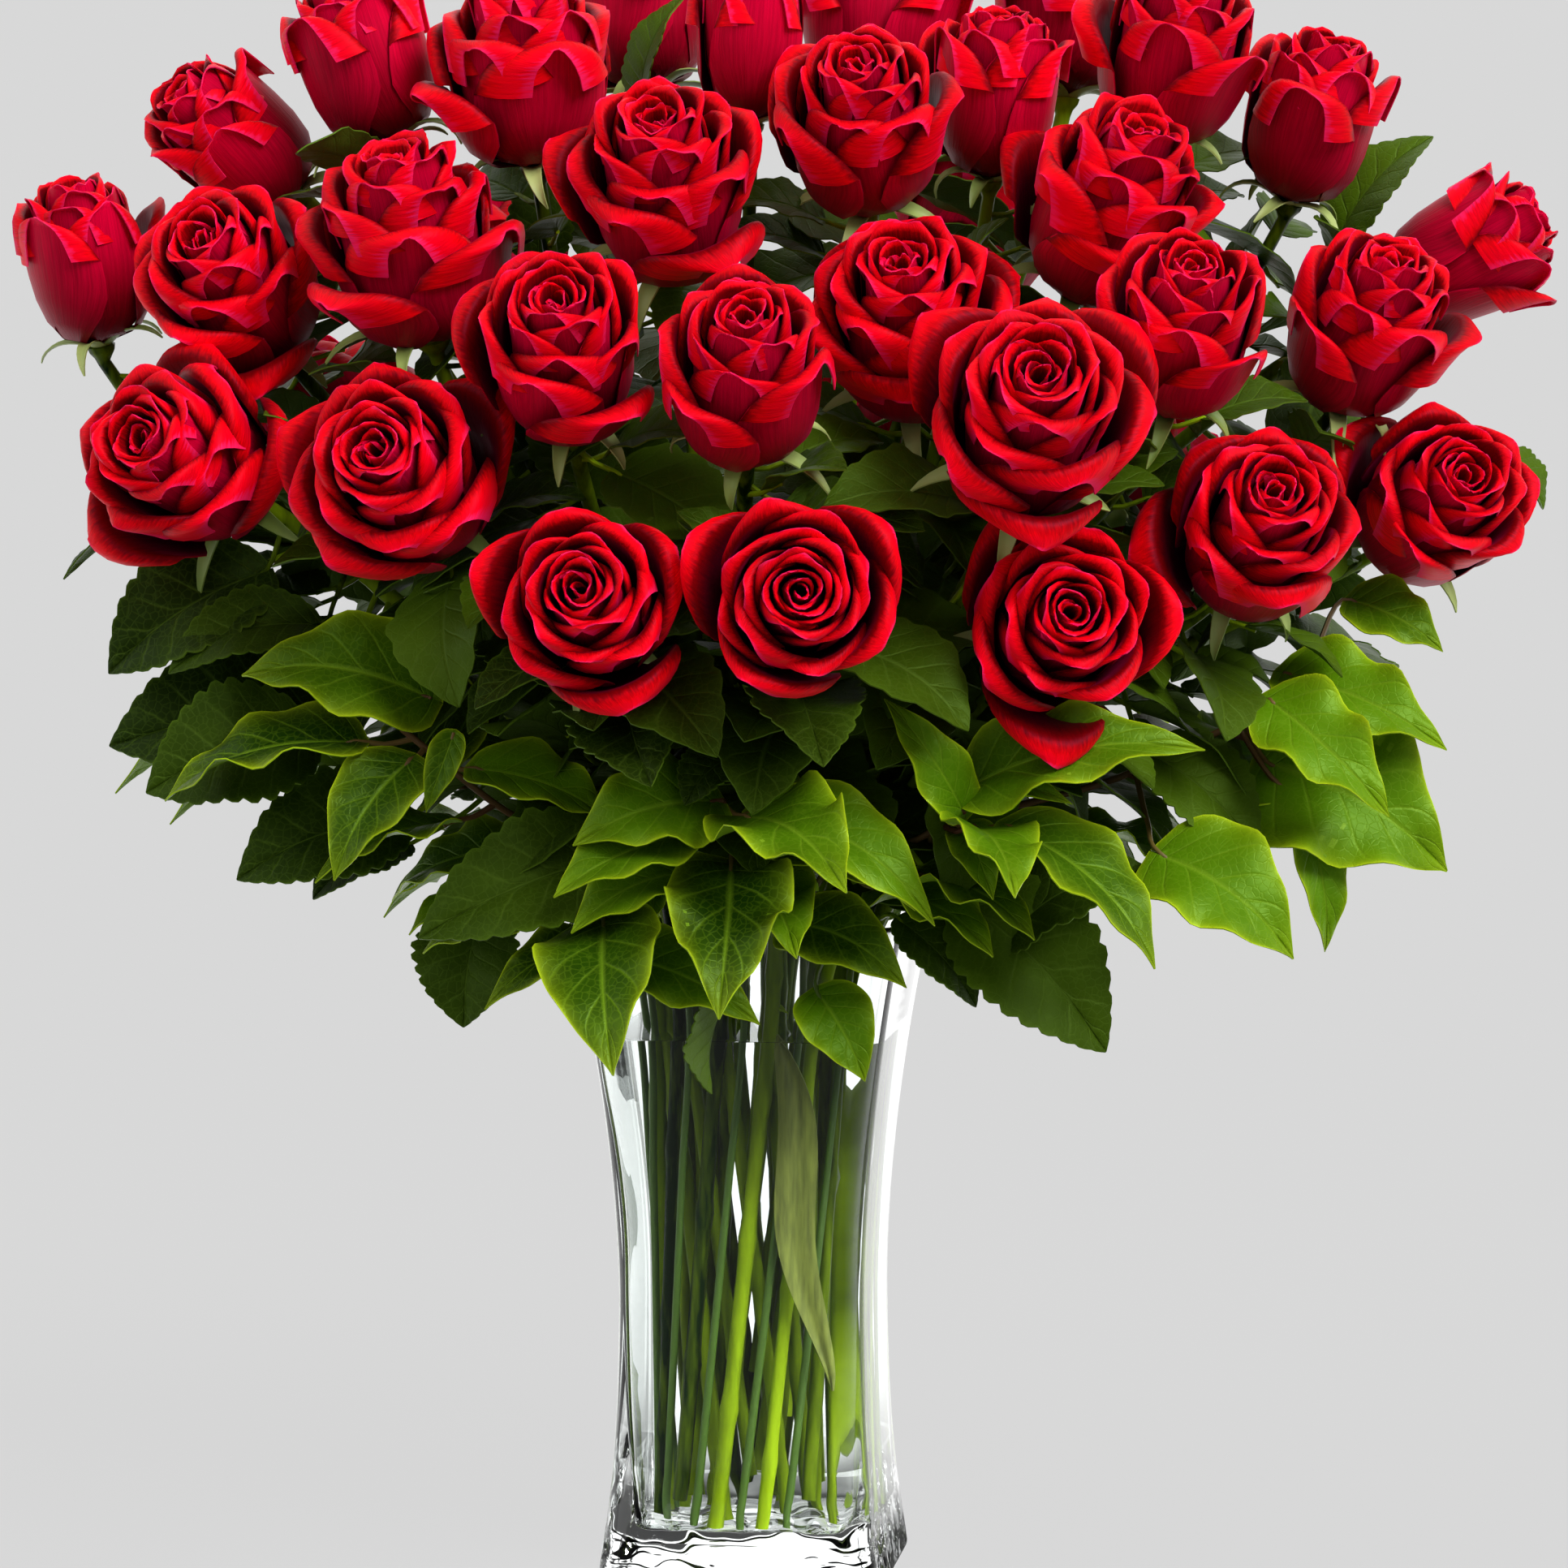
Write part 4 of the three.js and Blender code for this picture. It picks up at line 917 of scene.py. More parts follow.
CORNER_POINTS = 9
FOOT_CURVE, FOOT_FADE = 38, 1.3  # height over which the foot draws in, and how sharply
RIM_FLARE = 1.8
WELL_FLARE, WELL_FLARE_POWER = 0.0025, 1.85
WELL_SLOPE = 1 / 120
FOOT_EDGE, RIM_EDGE = 3, VASE_HEIGHT - RIM_BEVEL  # heights between which the outer wall runs
FLOOR_EDGE = FLOOR_TOP + 3  # height where the well's rounded floor ends
OUTER_LOOPS, INNER_LOOPS, WATER_LOOPS, EDGE_LOOPS, FOOT_LOOPS = 56, 46, 34, 4, 6
GLASS_RIPPLE, WATER_RIPPLE = 0.00005, 0.00002  # unevenness of the two surfaces, in metres
FOOT_RIPPLE = 75.0  # how much more uneven the foot is than the rest of the glass
MENISCUS, MENISCUS_FADE = 0.5, 1.3  # how far the water climbs at the glass, and how soon it is level again
FACE_PLACES = np.array([0.0, 0.4, 0.9, 1.6, 2.6, 4.0, 7.0, 14.0])  # the level face's loops, in from the glass
FACE_CORNER, CORNER_LOSS = 3, 0.3  # least corner radius of these loops, and what each millimetre takes off
WATER_OVERLAP = 0.05  # the water reaches this far into the glass, so that no film of air is left


def outer_half(z):
    """Half the side of the vase: the foot draws in to the waist, and the walls flare to the rim."""
    foot = (FOOT_HALF - WAIST_HALF) * np.exp(-((z / FOOT_CURVE) ** FOOT_FADE))
    flared = np.maximum(z - FLARE_START, 0) / (VASE_HEIGHT - FLARE_START)
    return WAIST_HALF + foot + (RIM_HALF - WAIST_HALF) * flared**RIM_FLARE


def inner_half(z):
    """Half the side of the well: nearly straight below, a thinner wall towards the rim."""
    wall = RIM_WALL + WALL_GAIN * (1 - z / VASE_HEIGHT)
    flare = WELL_FLARE * np.maximum(z - WELL_FLARE_START, 0) ** WELL_FLARE_POWER
    return np.minimum(outer_half(z) - wall, WELL_HALF + z * WELL_SLOPE + flare)


def square_loops(parts):
    """Squares with rounded corners, one above the other, turned as the vase stands.

    Each part is a run of them: half their sides, the radii of their corners, and their heights.
    """
    runs = [np.broadcast_arrays(*part) for part in parts]
    halves, corners, heights = (np.concatenate(column)[:, None] for column in zip(*runs))
    quarter = np.repeat(np.arange(4), CORNER_POINTS)
    middle = np.radians(45 + 90 * quarter)
    angle = np.radians(90 * quarter + np.tile(np.linspace(0, 90, CORNER_POINTS), 4))
    reach = (halves - corners) * math.sqrt(2)
    x = reach * np.cos(middle) + corners * np.cos(angle)
    y = reach * np.sin(middle) + corners * np.sin(angle)
    c, s = math.cos(VASE_TURN), math.sin(VASE_TURN)
    return np.stack([c * x - s * y, s * x + c * y, heights + 0 * x], -1)


def quarter_round():
    """Shares across and up a quarter circle."""
    angle = np.linspace(0, math.pi / 2, EDGE_LOOPS + 1)[1:]
    return 1 - np.cos(angle), np.sin(angle)


def add_shell(piece, loops):
    """A closed solid through loops, the first and the last closed with a fan."""
    rows, columns = loops.shape[:2]
    size = rows * columns
    points = np.concatenate([loops.reshape(-1, 3), loops[[0, -1]].mean(1)])
    ring = np.arange(columns)
    caps = [fan(size, ring[::-1]), fan(size + 1, size - columns + ring)]
    faces = [grid_faces(rows, columns, closed=True), *caps]
    piece.add(points, faces, np.zeros((len(points), 2)), 0.0, 0.0, 0)


def glass_vase(glass):
    """The vase as one closed surface: foot, walls, rounded rim, well and the well's rounded floor."""
    across, up = quarter_round()
    foot = np.linspace(0, math.pi / 2, FOOT_LOOPS)[:-1]
    foot_half = outer_half(FOOT_EDGE) - FOOT_BEVEL * (1 - np.sin(foot))
    outside = np.linspace(FOOT_EDGE, RIM_EDGE, OUTER_LOOPS)
    inside = np.linspace(RIM_EDGE, FLOOR_EDGE, INNER_LOOPS)
    rim = RIM_EDGE + RIM_BEVEL * up
    floor = FLOOR_TOP + (FLOOR_EDGE - FLOOR_TOP) * (1 - up)
    loops = square_loops([
        (foot_half, CORNER_RADIUS, FOOT_EDGE * (1 - np.cos(foot))),
        (outer_half(outside), CORNER_RADIUS, outside),
        (outer_half(VASE_HEIGHT) - RIM_BEVEL * across, CORNER_RADIUS, rim),
        ((inner_half(VASE_HEIGHT) + RIM_BEVEL * across)[::-1], WELL_CORNER, rim[::-1]),
        (inner_half(inside), WELL_CORNER, inside),
        (inner_half(FLOOR_TOP) - FLOOR_ROUND * across, WELL_CORNER - FLOOR_ROUND * across, floor),
    ])
    piece = Piece("glass_vase")
    add_shell(piece, loops)
    piece.make([glass], "vase").visible_shadow = False


def vase_water(water):
    """The water: the well's own shape up to its level, a rim that climbs the glass, and a level face."""
    across, up = quarter_round()
    levels = np.linspace(FLOOR_EDGE, WATER_TOP, WATER_LOOPS)
    floor_half = inner_half(FLOOR_TOP) - FLOOR_ROUND * across + WATER_OVERLAP
    floor = FLOOR_TOP - WATER_OVERLAP + (FLOOR_EDGE - FLOOR_TOP) * (1 - up)
    face_half = inner_half(WATER_TOP + MENISCUS) + WATER_OVERLAP - FACE_PLACES
    face_corner = np.maximum(WELL_CORNER - CORNER_LOSS * FACE_PLACES, FACE_CORNER)
    loops = square_loops([
        (floor_half[::-1], (WELL_CORNER - FLOOR_ROUND * across)[::-1], floor[::-1]),
        (inner_half(levels) + WATER_OVERLAP, WELL_CORNER, levels),
        (face_half, face_corner, WATER_TOP + MENISCUS * np.exp(-FACE_PLACES / MENISCUS_FADE)),
    ])
    piece = Piece("vase_water")
    add_shell(piece, loops)
    piece.make([water], "water").visible_shadow = False


# Materials


class Signal:
    """What comes out of a shader node. Signals and numbers are added, multiplied and so on as they stand."""

    def __init__(self, nodes, socket):
        self.nodes, self.socket = nodes, socket

    def __add__(self, other):
        return self.nodes.math("ADD", self, other)

    def __sub__(self, other):
        return self.nodes.math("SUBTRACT", self, other)

    def __rsub__(self, other):
        return self.nodes.math("SUBTRACT", other, self)

    def __mul__(self, other):
        return self.nodes.math("MULTIPLY", self, other)

    def __pow__(self, other):
        return self.nodes.math("POWER", self, other)

    def __abs__(self):
        return self.nodes.math("ABSOLUTE", self)

    def clamped(self):
        """Kept between 0 and 1."""
        return self.nodes.math("ADD", self, use_clamp=True)


class Nodes:
    """A shader's nodes, with short calls that make and join them."""

    def __init__(self, tree):
        self.tree = tree

    def feed(self, socket, value):
        """Joins a signal to a socket, or sets the socket to a plain value."""
        if isinstance(value, Signal):
            self.tree.links.new(value.socket, socket)
        else:
            socket.default_value = value

    def node(self, kind, inputs=None, output=0, **settings):
        """One output of a new node with its settings, and its inputs as values or signals."""
        made = self.tree.nodes.new(kind)
        for name, value in settings.items():
            setattr(made, name, value)
        for name, value in (inputs or {}).items():
            self.feed(made.inputs[name], value)
        return Signal(self, made.outputs[output])

    def math(self, operation, a, b=0.0, use_clamp=False):
        """Two values worked together, such as added or multiplied."""
        return self.node("ShaderNodeMath", {0: a, 1: b}, operation=operation, use_clamp=use_clamp)

    def part(self, vector, index):
        """One of a vector's three numbers."""
        return self.node("ShaderNodeSeparateXYZ", {0: vector}, index)

    def place(self, kind="Object"):
        """Coordinates of a kind, or else Object ones."""
        return self.node("ShaderNodeTexCoord", output=kind)

    def ranged(self, value, start, end, low=0.0, high=1.0, **settings):
        """Runs from low to high while a value runs from start to end, and is level beyond."""
        return self.node("ShaderNodeMapRange", {0: value, 1: start, 2: end, 3: low, 4: high}, **settings)

    def ramp(self, value, stops):
        """Colours or greys blended between places on a value from 0 to 1."""
        made = self.tree.nodes.new("ShaderNodeValToRGB")
        self.feed(made.inputs[0], value)
        elements = made.color_ramp.elements
        while len(elements) < len(stops):
            elements.new(0.5)
        for element, (place, colour) in zip(elements, stops):
            element.position = place
            element.color = (*colour, 1) if isinstance(colour, tuple) else (colour, colour, colour, 1)
        return Signal(self, made.outputs[0])

    def ray(self, kind):
        """1 for rays of a kind, such as those that come straight from the camera, and 0 for others."""
        return self.node("ShaderNodeLightPath", output=f"Is {kind} Ray")


class Finish(Nodes):
    """A material on the Principled shader."""

    def __init__(self, name, **settings):
        self.material = bpy.data.materials.new(name)
        self.material.use_nodes = True
        super().__init__(self.material.node_tree)
        self.surface = self.tree.nodes["Principled BSDF"]
        for socket, value in settings.items():
            self.set(socket.replace("_", " "), value)

    def set(self, socket, value):
        self.feed(self.surface.inputs[socket], value)

    def value_of(self, name):
        """A value kept on the mesh's points."""
        return self.node("ShaderNodeAttribute", output="Fac", attribute_name=name)

    def sheet(self):
        """The place across and along a sheet, each from 0 to 1."""
        return self.node("ShaderNodeUVMap", uv_map="sheet")

    def noise(self, scale, stretch=(1, 1, 1), detail=3.0, on_sheet=False):
        """Noise on Object coordinates, or on the sheet's own, stretched along its axes."""
        source = self.sheet() if on_sheet else self.place()
        placed = self.node("ShaderNodeMapping", {0: source, "Scale": stretch})
        return self.node("ShaderNodeTexNoise", {"Vector": placed, "Scale": scale, "Detail": detail})

    def mix(self, share, a, b, blend="MIX"):
        """Two colours mixed, or blended another way, by a share."""
        first, second = (colour if isinstance(colour, Signal) else (*colour, 1) for colour in (a, b))
        settings = {"data_type": "RGBA", "blend_type": blend}
        return self.node("ShaderNodeMix", {0: share, 6: first, 7: second}, output=2, **settings)

    def bump(self, height, strength, distance):
        inputs = {"Height": height, "Strength": strength, "Distance": distance}
        self.set("Normal", self.node("ShaderNodeBump", inputs))


PETAL_INSIDE_RED_AND_PAINTED_LIGHT = [  # a petal's colour from its foot to its lip on its inner face: its red under painted shade, near black at the foot down in the cup and full at the lip, with a painted pink highlight at the lip's very end
    (0.0, (0.008, 0.0, 0.001)), (0.35, (0.025, 0.0, 0.001)), (0.6, (0.2, 0.0, 0.001)),
    (0.76, (0.8, 0.0, 0.003)), (0.93, (1.0, 0.0, 0.014)), (1.0, (1.0, 0.016, 0.13)),
]
# the back of a petal, foot to lip: crimson, partly its own colour and partly painted sheen, under painted
# shade that is dark at the foot, with a painted pink highlight at the lip's very end
PETAL_OUTSIDE_RED_AND_PAINTED_LIGHT = [
    (0.0, (0.05, 0.0, 0.002)), (0.22, (0.3, 0.0, 0.012)), (0.5, (0.66, 0.0, 0.034)),
    (0.8, (1.0, 0.0, 0.055)), (1.0, (1.0, 0.014, 0.12)),
]
STREAKS_SCALE, STREAKS_STRETCH = 6, (9, 1.2, 1)
RIBS_SCALE, RIBS_STRETCH = 5, (22, 0.8, 1)
BLOTCHES_SCALE = 55
STREAKS_SHIFT = 0.22  # how far the streaks shift the colours along the petal, and with them the edge of the painted shade
DARKEST_TINT, TINT_SPAN = 0.9, 0.3  # a petal's own brightness
BLOTCHES_SPAN, RIBS_SPAN = 0.4, 0.9  # how much brightness the blotches and ribs add or take
NET_SCALE, MOTTLE_SCALE = 380.0, 70  # a leaf's net of fine veins, and its lighter and darker places
MIDRIB_FINENESS, VEIN_FINENESS, NET_FINENESS, EDGE_FINENESS = 16, 40, 9, 26  # of the lines on a leaf
STREAKS_ALONG = (1, 1, 0.12)  # a stem's streaks, drawn out upwards
RIM_ZONE = (0.2, 0.27)  # heights in metres between which a twig turns from green to red
FOOT_ZONE = (0.042, 0.018)  # heights in metres between which the foot's ripple sets in, from above
FOOT_RIPPLE_SCALE, WALL_RIPPLE_SCALE = 55, 18


def velvet_petal():
    """Deep red velvet with painted shade, near black down in the cup and bright at the lip, a painted pink
    highlight at the lip's end, a crimson sheen, streaks and ribs.
    """
    f = Finish(
        "red_velvet_petal", Sheen_Weight=0.2, Sheen_Roughness=0.4, Sheen_Tint=(1, 0.02, 0.16, 1),
        Specular_IOR_Level=0.3, Specular_Tint=(1, 0.1, 0.25, 1),
    )
    streaks = f.noise(STREAKS_SCALE, STREAKS_STRETCH, on_sheet=True)
    ribs = f.noise(RIBS_SCALE, RIBS_STRETCH, detail=1, on_sheet=True)
    blotches = f.noise(BLOTCHES_SCALE, detail=2)
    # the place along the petal, moved by the streaks, that sets where the painted shade of the cup gives way
    # to the lit red of the lip
    depth = (f.part(f.sheet(), 1) + (streaks - 0.5) * STREAKS_SHIFT).clamped()
    colour = f.mix(f.value_of("side"), f.ramp(depth, PETAL_OUTSIDE_RED_AND_PAINTED_LIGHT), f.ramp(depth, PETAL_INSIDE_RED_AND_PAINTED_LIGHT))
    shade = f.value_of("tint") * TINT_SPAN + DARKEST_TINT
    shade = shade + (blotches - 0.5) * BLOTCHES_SPAN + (ribs - 0.5) * RIBS_SPAN
    grey = f.node("ShaderNodeCombineColor", {0: shade, 1: shade, 2: shade})
    f.set("Base Color", f.mix(1.0, colour, grey, "MULTIPLY"))
    f.set("Roughness", streaks * 0.2 + 0.38)
    f.bump(streaks, 0.3, 0.0005)
    return f.material


def veined_leaf(name, colours, veins, slant, glow=0.0, **settings):
    """A leaf: midrib, slanting side veins and a fine net between them, with a paler back and a coloured edge.

    The glow is how far the colour runs over into the edge's own towards the sides and the tip.
    """
    f = Finish(name, **settings)
    along = f.part(f.sheet(), 1)
    side = abs(f.part(f.sheet(), 0) * 2 - 1)
    run = (along - side**0.8 * slant) * (veins * 2 * math.pi)
    crest = f.math("SINE", run) * 0.5 + 0.5
    vein = crest**VEIN_FINENESS * (1 - side**3)
    midrib = (1 - side * MIDRIB_FINENESS).clamped()
    lines = f.math("MAXIMUM", vein * 0.55, midrib)
    voronoi = {"Vector": f.place(), "Scale": NET_SCALE}
    cells = f.node("ShaderNodeTexVoronoi", voronoi, output="Distance", feature="DISTANCE_TO_EDGE")
    net = (1 - cells * NET_FINENESS).clamped()
    mottle = f.noise(MOTTLE_SCALE)
    # a leaf's tint holds its own tone and the painted side light added to it in add_leaf
    mixed = (mottle * 0.5 + f.value_of("tint") * 0.9 - 0.2).clamped()
    face = f.mix(mixed, colours["dark"], colours["light"])
    face = f.mix(net * 0.22, face, colours["back"])
    face = f.mix(lines * 0.75, face, colours["back"])
    face = f.mix(f.math("MAXIMUM", side**4, along**7) * glow, face, colours["rim"])
    face = f.mix(side**EDGE_FINENESS, face, colours["rim"])
    under = f.mix(lines * 0.4, colours["back"], colours["light"])
    f.set("Base Color", f.mix(f.value_of("side"), face, under))
    f.set("Roughness", mottle * 0.2 + settings["Roughness"])
    f.bump(crest * -0.35 - net * 0.15 - lines, 0.6, 0.0006)
    return f.material


def streaked(name, dark, light, scale=90, below_rim=None, **settings):
    """A stem, stalk, hip or sepal: fine streaks along it in two colours, and a third one down in the vase."""
    f = Finish(name, **settings)
    streaks = f.noise(scale, STREAKS_ALONG, 4)
    colour = f.mix((f.value_of("tint") * 0.9 + streaks * 0.9 - 0.45).clamped(), dark, light)
    if below_rim:
        colour = f.mix(f.ranged(f.part(f.place(), 2), *RIM_ZONE), below_rim, colour)
    f.set("Base Color", colour)
    f.bump(streaks, 0.3, 0.0004)
    return f.material


def clear(name, index, tint, ripple, foot_ripple=0.0):
    """Clear glass or water with a faint unevenness in its surface, stronger in a cast foot."""
    f = Finish(name, Base_Color=(*tint, 1), Roughness=0.0, IOR=index, Transmission_Weight=1.0)
    foot = f.ranged(f.part(f.place(), 2), *FOOT_ZONE, 0.0, foot_ripple)
    uneven = f.noise(FOOT_RIPPLE_SCALE, detail=1) * foot + f.noise(WALL_RIPPLE_SCALE, detail=2)
    f.bump(uneven, 1.0, ripple)
    return f.material


# The bunch: what the solids have, then small leaves wherever there is still room

BOX_LOW = np.array(cad_box[0]) / MM - BOX_MARGIN
BOX_HIGH = np.array(cad_box[1]) / MM + BOX_MARGIN
SWINGS = [35, -35, 75, -75, 110, -110, 0, 150]
FILLER_SWINGS = [20, -20, 60, -60, 100, -100, 140, -140]
SPRAY_RULE = {
    "shares": [1, 0.7], "length": 66, "width": 42, "pitches": [-15, -40, 10], "swings": SWINGS,
    "leaf_clearance": 10, "stem_clearance": 9, "widest": np.inf,
}
ROSE_RULE = {**SPRAY_RULE, "shares": [0.36, 0.6], "length": 58, "width": 40, "pitches": [-20, -45, 5]}
SPRAY_FILLER = {
    "shares": [0.3, 0.5, 0.85, 0.15], "length": 50, "width": 33, "pitches": [-20, -50, 15, 40],
    "swings": FILLER_SWINGS, "leaf_clearance": 5, "stem_clearance": 3, "widest": np.inf,
}
ROSE_FILLER = {
    "shares": [0.14, 0.2, 0.26, 0.32, 0.4, 0.46, 0.52, 0.7, 0.84], "length": 52, "width": 38,
    "pitches": [-30, -55, 0, 25], "swings": [*FILLER_SWINGS, 180],
    "leaf_clearance": 4, "stem_clearance": 2, "widest": 215,
}
ROSE_COLLAR = {
    "shares": [0.78, 0.9, 0.66], "length": 36, "width": 25, "pitches": [10, -25, 40, -50],
    "swings": [0, 40, -40, 80, -80, 120, -120, 180],
    "leaf_clearance": 4, "stem_clearance": 2.5, "widest": 215,
}

heads = settled_heads()
spaces = spaces_of(heads)
stem_lines = [
    stem_line(head, spaces, group, circle)
    for group, members in enumerate(groups_of(heads))
    for circle, head in enumerate(members)
]
twig_lines = [twig_line(route, spaces) for route in SPRAYS]
roots = []
spray_leaves = [placed_leaf(row, twig_lines, roots) for row in SPRAY_LEAVES]
rose_leaves = [placed_leaf(row, stem_lines, roots) for row in ROSE_LEAVES]
taken = []
for spot in spray_leaves + rose_leaves:
    taken += [leaf_samples(spot), line_samples(np.array([spot["host"], spot["base"]]))]
stem_points = np.concatenate([line_samples(line["points"]) for line in stem_lines + twig_lines])
room = (spaces, stem_points, taken, roots)
spray_leaves += grown_leaves(twig_lines, SPRAY_RULE, *room)
rose_leaves += grown_leaves(stem_lines, ROSE_RULE, *room)
spray_filler = grown_leaves(twig_lines, SPRAY_FILLER, *room)
rose_filler = grown_leaves(stem_lines, ROSE_FILLER, *room)
rose_filler += grown_leaves(stem_lines, ROSE_COLLAR, *room)

LEAF_GLOSS = (0.6, 1, 0.22, 1)  # colour of a leaf's gloss
GLASS_TINT, WATER_TINT = (0.97, 0.99, 0.985), (0.97, 0.99, 0.98)
GLASS_INDEX, WATER_INDEX = 1.5, 1.33
ROSE_LEAF_COLOURS = {
    "dark": (0.01, 0.024, 0.001), "light": (0.065, 0.125, 0.003), "back": (0.09, 0.16, 0.014),
    "rim": (0.07, 0.13, 0.006),
}
SPRAY_LEAF_COLOURS = {
    "dark": (0.01, 0.04, 0.001), "light": (0.098, 0.235, 0.002), "back": (0.18, 0.33, 0.012),
    "rim": (0.52, 0.7, 0.012),
}

velvet = velvet_petal()
rose_leaf = veined_leaf(
    "dull_rose_leaf", ROSE_LEAF_COLOURS, veins=7, slant=0.22,
    Roughness=0.4, Specular_IOR_Level=0.3, Specular_Tint=LEAF_GLOSS,
)
spray_leaf = veined_leaf(
    "glossy_spray_leaf", SPRAY_LEAF_COLOURS, veins=6, slant=0.3, glow=0.45,
    Roughness=0.3, Specular_IOR_Level=0.4, Specular_Tint=LEAF_GLOSS,
)
stem_green = streaked(
    "rose_stem", (0.004, 0.02, 0.001), (0.42, 0.64, 0.008), scale=260, Roughness=0.4, Specular_IOR_Level=0.1
)
faded_leaf = streaked("faded_leaf", (0.012, 0.02, 0.001), (0.5, 0.6, 0.09), scale=520, Roughness=0.6)
sepal_green = streaked("pale_sepal", (0.22, 0.33, 0.06), (0.55, 0.65, 0.22), Roughness=0.5)
twig_red = streaked(
    "reddish_twig", (0.10, 0.022, 0.015), (0.20, 0.13, 0.03), below_rim=(0.08, 0.17, 0.015), Roughness=0.5
)


def rose_stems(group):
    """A group's three stems and their leaves in one piece, in one group with the leaf in the water."""
    rng = np.random.default_rng(STEM_SEED + group)
    bunch = Piece(f"rose_stems_{group + 1:02d}")
    for line in stem_lines:
        if line["group"] == group:
            rose_stem(bunch, line, rng)
    for leaves, style in ((rose_leaves, ROSE_STYLE), (rose_filler, FILLER_STYLE)):
        for spot in leaves:
            if stem_lines[spot["index"]]["group"] == group:
                add_leaf(bunch, spot, style, rng)
    if group == SUNKEN_GROUP:
        add_sunken_leaf(bunch, rng)
    materials = [stem_green, rose_leaf, sepal_green, faded_leaf]
    bunch.make(materials, f"stems_{group + 1:02d}")


def leafy_spray(k, line):
    """A twig that runs up through the water and over the rim, with its leaves in one piece."""
    rng = np.random.default_rng(SPRAY_SEED + k)
    spray = Piece(f"leafy_spray_{k + 1}")
    straight = line["foot"] + (line["neck"] - line["foot"]) * TWIG_SHARE
    path = smooth_path([line["foot"], straight, line["neck"], *line["points"]], PATH_STEP)
    spray.add_tube(path, TWIG_RADIUS * np.linspace(1, TWIG_TAPER, len(path)), STEM_SIDES, 0.5, STEM)
    for spot in spray_leaves + spray_filler:
        if spot["index"] == k:
            add_leaf(spray, spot, SPRAY_STYLE, rng)
    spray.make([twig_red, spray_leaf], f"spray_{k + 1}")


for group in range(GROUPS):
    rose_stems(group)
for k, line in enumerate(twig_lines):
    leafy_spray(k, line)
glass_vase(clear("clear_glass", GLASS_INDEX, GLASS_TINT, GLASS_RIPPLE, FOOT_RIPPLE))
vase_water(clear("clear_water", WATER_INDEX, WATER_TINT, WATER_RIPPLE))
for head in heads:
    rose_head(head, velvet)

# Studio

PALE = (0.687, 0.687, 0.687)  # the plain background, as light
ROOM_LIGHT = 0.42  # even light from all round on everything dull
SIDE_TONES = [  # what glass sees of the room, by |x|
    (0, 1), (0.24, 1), (0.28, 0.04), (0.33, 0.04), (0.37, 1),
    (0.5, 0.95), (0.6, 0.03), (0.78, 0.03), (0.86, 0.8), (1, 0.5),
]
DEPTH_TONES = [(0, 0.06), (0.4, 0.15), (0.62, 1), (1, 1)]  # and from front to back
GLASS_LIGHT = 1.4  # how bright the brightest of these is
FLOOR_RINGS = np.array([0.2, 0.5, 1, 2, 5, 30])  # radii in metres
FLOOR_SIDES = 64
FLOOR_DROP = 0.0004  # the floor lies this far below the foot, so that the two faces stay apart
FLOOR_TONE = (0.7, 0.7, 0.7)
NEAR_GLOW = 0.96  # share of the plain tone in the floor close to the vase
FADE = (0.4, 1.6)  # metres from the vase over which the floor's shading gives way to the plain background
IN_FRONT, BEHIND = 0.1, 2.0  # how bright the floor before the vase and behind it is in the glass
TURNOVER = (-0.2, 0.25)  # y in metres between which the floor goes from one to the other
FOOT_SHADE = 0.06  # share of that left in the shade of the foot
SHADE_ENDS = (0.09, 0.2)  # metres from the vase's middle over which the shade gives way
THROWN_UP = 0.5  # share of the floor's own glow that lights the bunch from below
SENSOR, LENS = 36, 120  # width of the camera's picture and its focal length, in millimetres
CAMERA_PLACE, CAMERA_PITCH = (0.010, -1.8, 0.4), math.radians(86)  # place in metres; 90 degrees looks level


def pale_floor():
    """A level disc: partly lit near the vase, the plain background's own tone further out.

    Seen through the glass it is brighter, as the sheet behind a vase is in a studio.
    """
    angle = 2 * math.pi * np.arange(FLOOR_SIDES) / FLOOR_SIDES
    circle = np.stack([np.cos(angle), np.sin(angle)], -1)
    around = (FLOOR_RINGS[:, None, None] * circle).reshape(-1, 2)
    points = np.pad(np.concatenate([around, [[0, 0]]]), ((0, 0), (0, 1)), constant_values=-FLOOR_DROP)
    middle = fan(len(around), np.arange(FLOOR_SIDES))
    faces = grid_faces(len(FLOOR_RINGS), FLOOR_SIDES, closed=True)[:, ::-1]
    mesh = bpy.data.meshes.new("floor")
    mesh.from_pydata(points, [], middle.tolist() + faces.tolist())
    floor = bpy.data.objects.new("floor", mesh)
    bpy.context.scene.collection.objects.link(floor)
    mesh.materials.append(floor_finish())


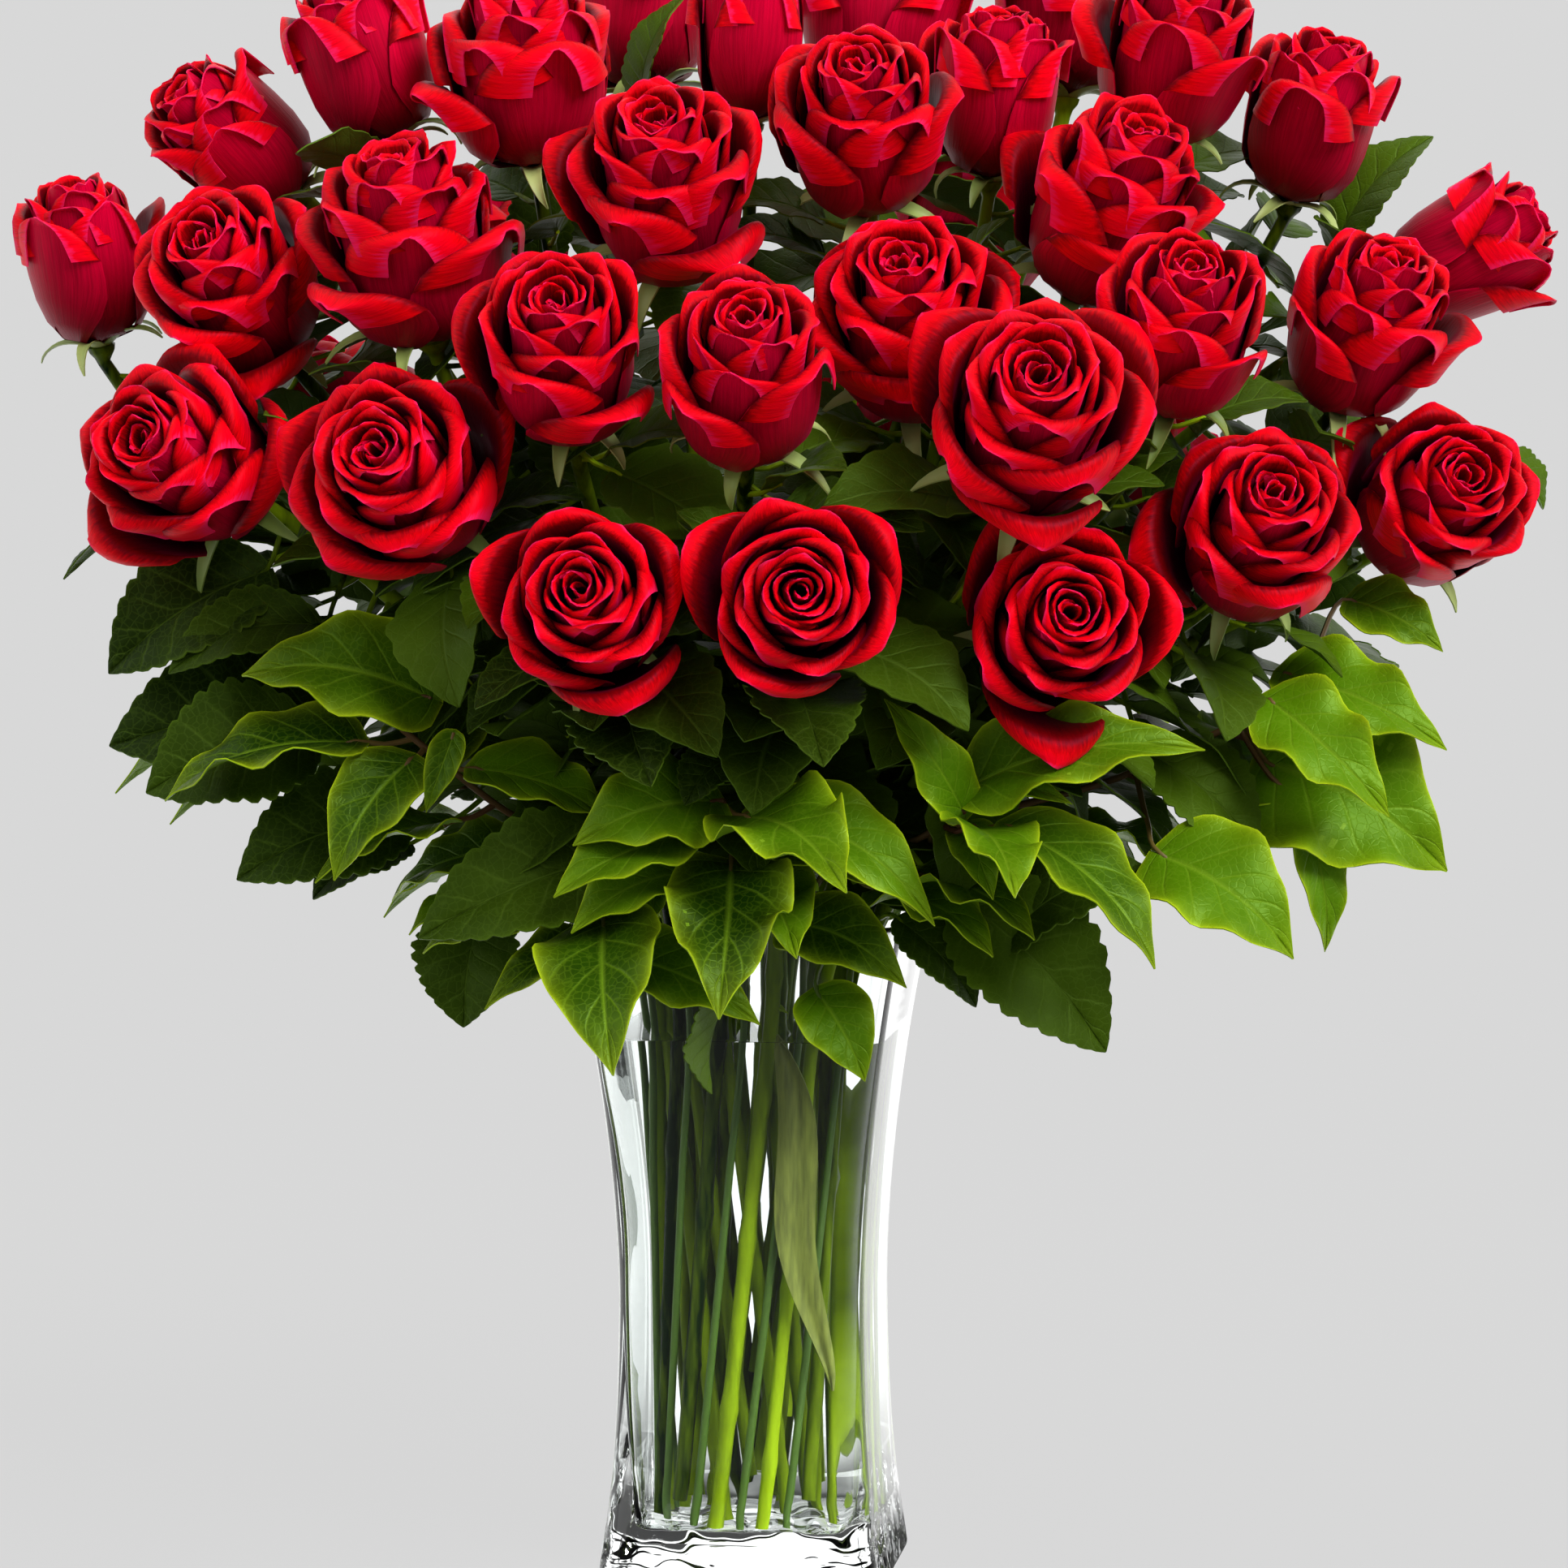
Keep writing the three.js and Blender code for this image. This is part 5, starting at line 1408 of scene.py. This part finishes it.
def floor_finish():
    """What each kind of ray sees of the floor: the camera a pale tone, glass the studio's light and dark.

    It throws less light up at what is dull.
    """
    f = Finish("pale_floor", Base_Color=(*FLOOR_TONE, 1), Roughness=0.9, Specular_IOR_Level=0.1)
    distance = f.node("ShaderNodeVectorMath", {0: f.place()}, output="Value", operation="LENGTH")
    fade = f.ranged(distance, *FADE, NEAR_GLOW, interpolation_type="SMOOTHSTEP")
    mirrored = f.ranged(f.part(f.place(), 1), *TURNOVER, IN_FRONT, BEHIND)
    mirrored = mirrored * f.ranged(distance, *SHADE_ENDS, FOOT_SHADE)
    straight, dull = f.ray("Camera"), f.ray("Diffuse")
    strength = straight + dull * THROWN_UP + (1 - (straight + dull)) * mirrored
    glow = f.node("ShaderNodeEmission", {0: (*PALE, 1), 1: strength})
    blend = f.node("ShaderNodeMixShader", {0: fade, 1: Signal(f, f.surface.outputs[0]), 2: glow})
    f.feed(f.tree.nodes["Material Output"].inputs[0], blend)
    return f.material


def studio_world():
    """The room as each kind of ray sees it.

    It gives even dim light to what is dull. For glass and gloss it is bright from behind and dark at the
    front, with dark bands at each side, which draw the edges of the glass. The camera sees the plain
    background.
    """
    world = bpy.data.worlds.new("studio")
    bpy.context.scene.world = world
    world.use_nodes = True
    room = Nodes(world.node_tree)
    direction = room.place("Generated")
    bands = room.ramp(abs(room.part(direction, 0)), SIDE_TONES)
    depth = room.ramp(room.part(direction, 1) * 0.5 + 0.5, DEPTH_TONES)
    glassy = bands * depth * GLASS_LIGHT
    strength = glassy + room.ray("Diffuse") * (ROOM_LIGHT - glassy)
    strength = strength + room.ray("Camera") * (PALE[0] - strength)
    background = room.tree.nodes["Background"]
    room.feed(background.inputs[0], (1, 1, 1, 1))
    room.feed(background.inputs[1], strength)


def soft_sun(name, direction, strength, spread):
    """A light from one direction, as wide in the sky as its spread in degrees, and even over the floor."""
    light = bpy.data.lights.new(name, "SUN")
    light.energy, light.angle = strength, math.radians(spread)
    made = bpy.data.objects.new(name, light)
    bpy.context.scene.collection.objects.link(made)
    x, y, z = unit(np.array(direction, float))
    made.rotation_euler = (math.acos(z), 0, math.atan2(y, x) + math.pi / 2)


def photograph_camera():
    """The camera where the photograph was taken from: in front, above the middle, looking a little down."""
    camera = bpy.data.cameras.new("camera")
    camera.lens, camera.sensor_width = LENS, SENSOR
    stand = bpy.data.objects.new("camera", camera)
    bpy.context.scene.collection.objects.link(stand)
    stand.location = CAMERA_PLACE
    stand.rotation_euler = (CAMERA_PITCH, 0, 0)
    bpy.context.scene.camera = stand


pale_floor()
studio_world()
soft_sun("key", (0.7, -0.8, 0.85), 2.9, 35)
soft_sun("fill", (-0.9, -0.6, 0.5), 0.6, 60)
photograph_camera()
bpy.context.scene.view_settings.view_transform = "Standard"
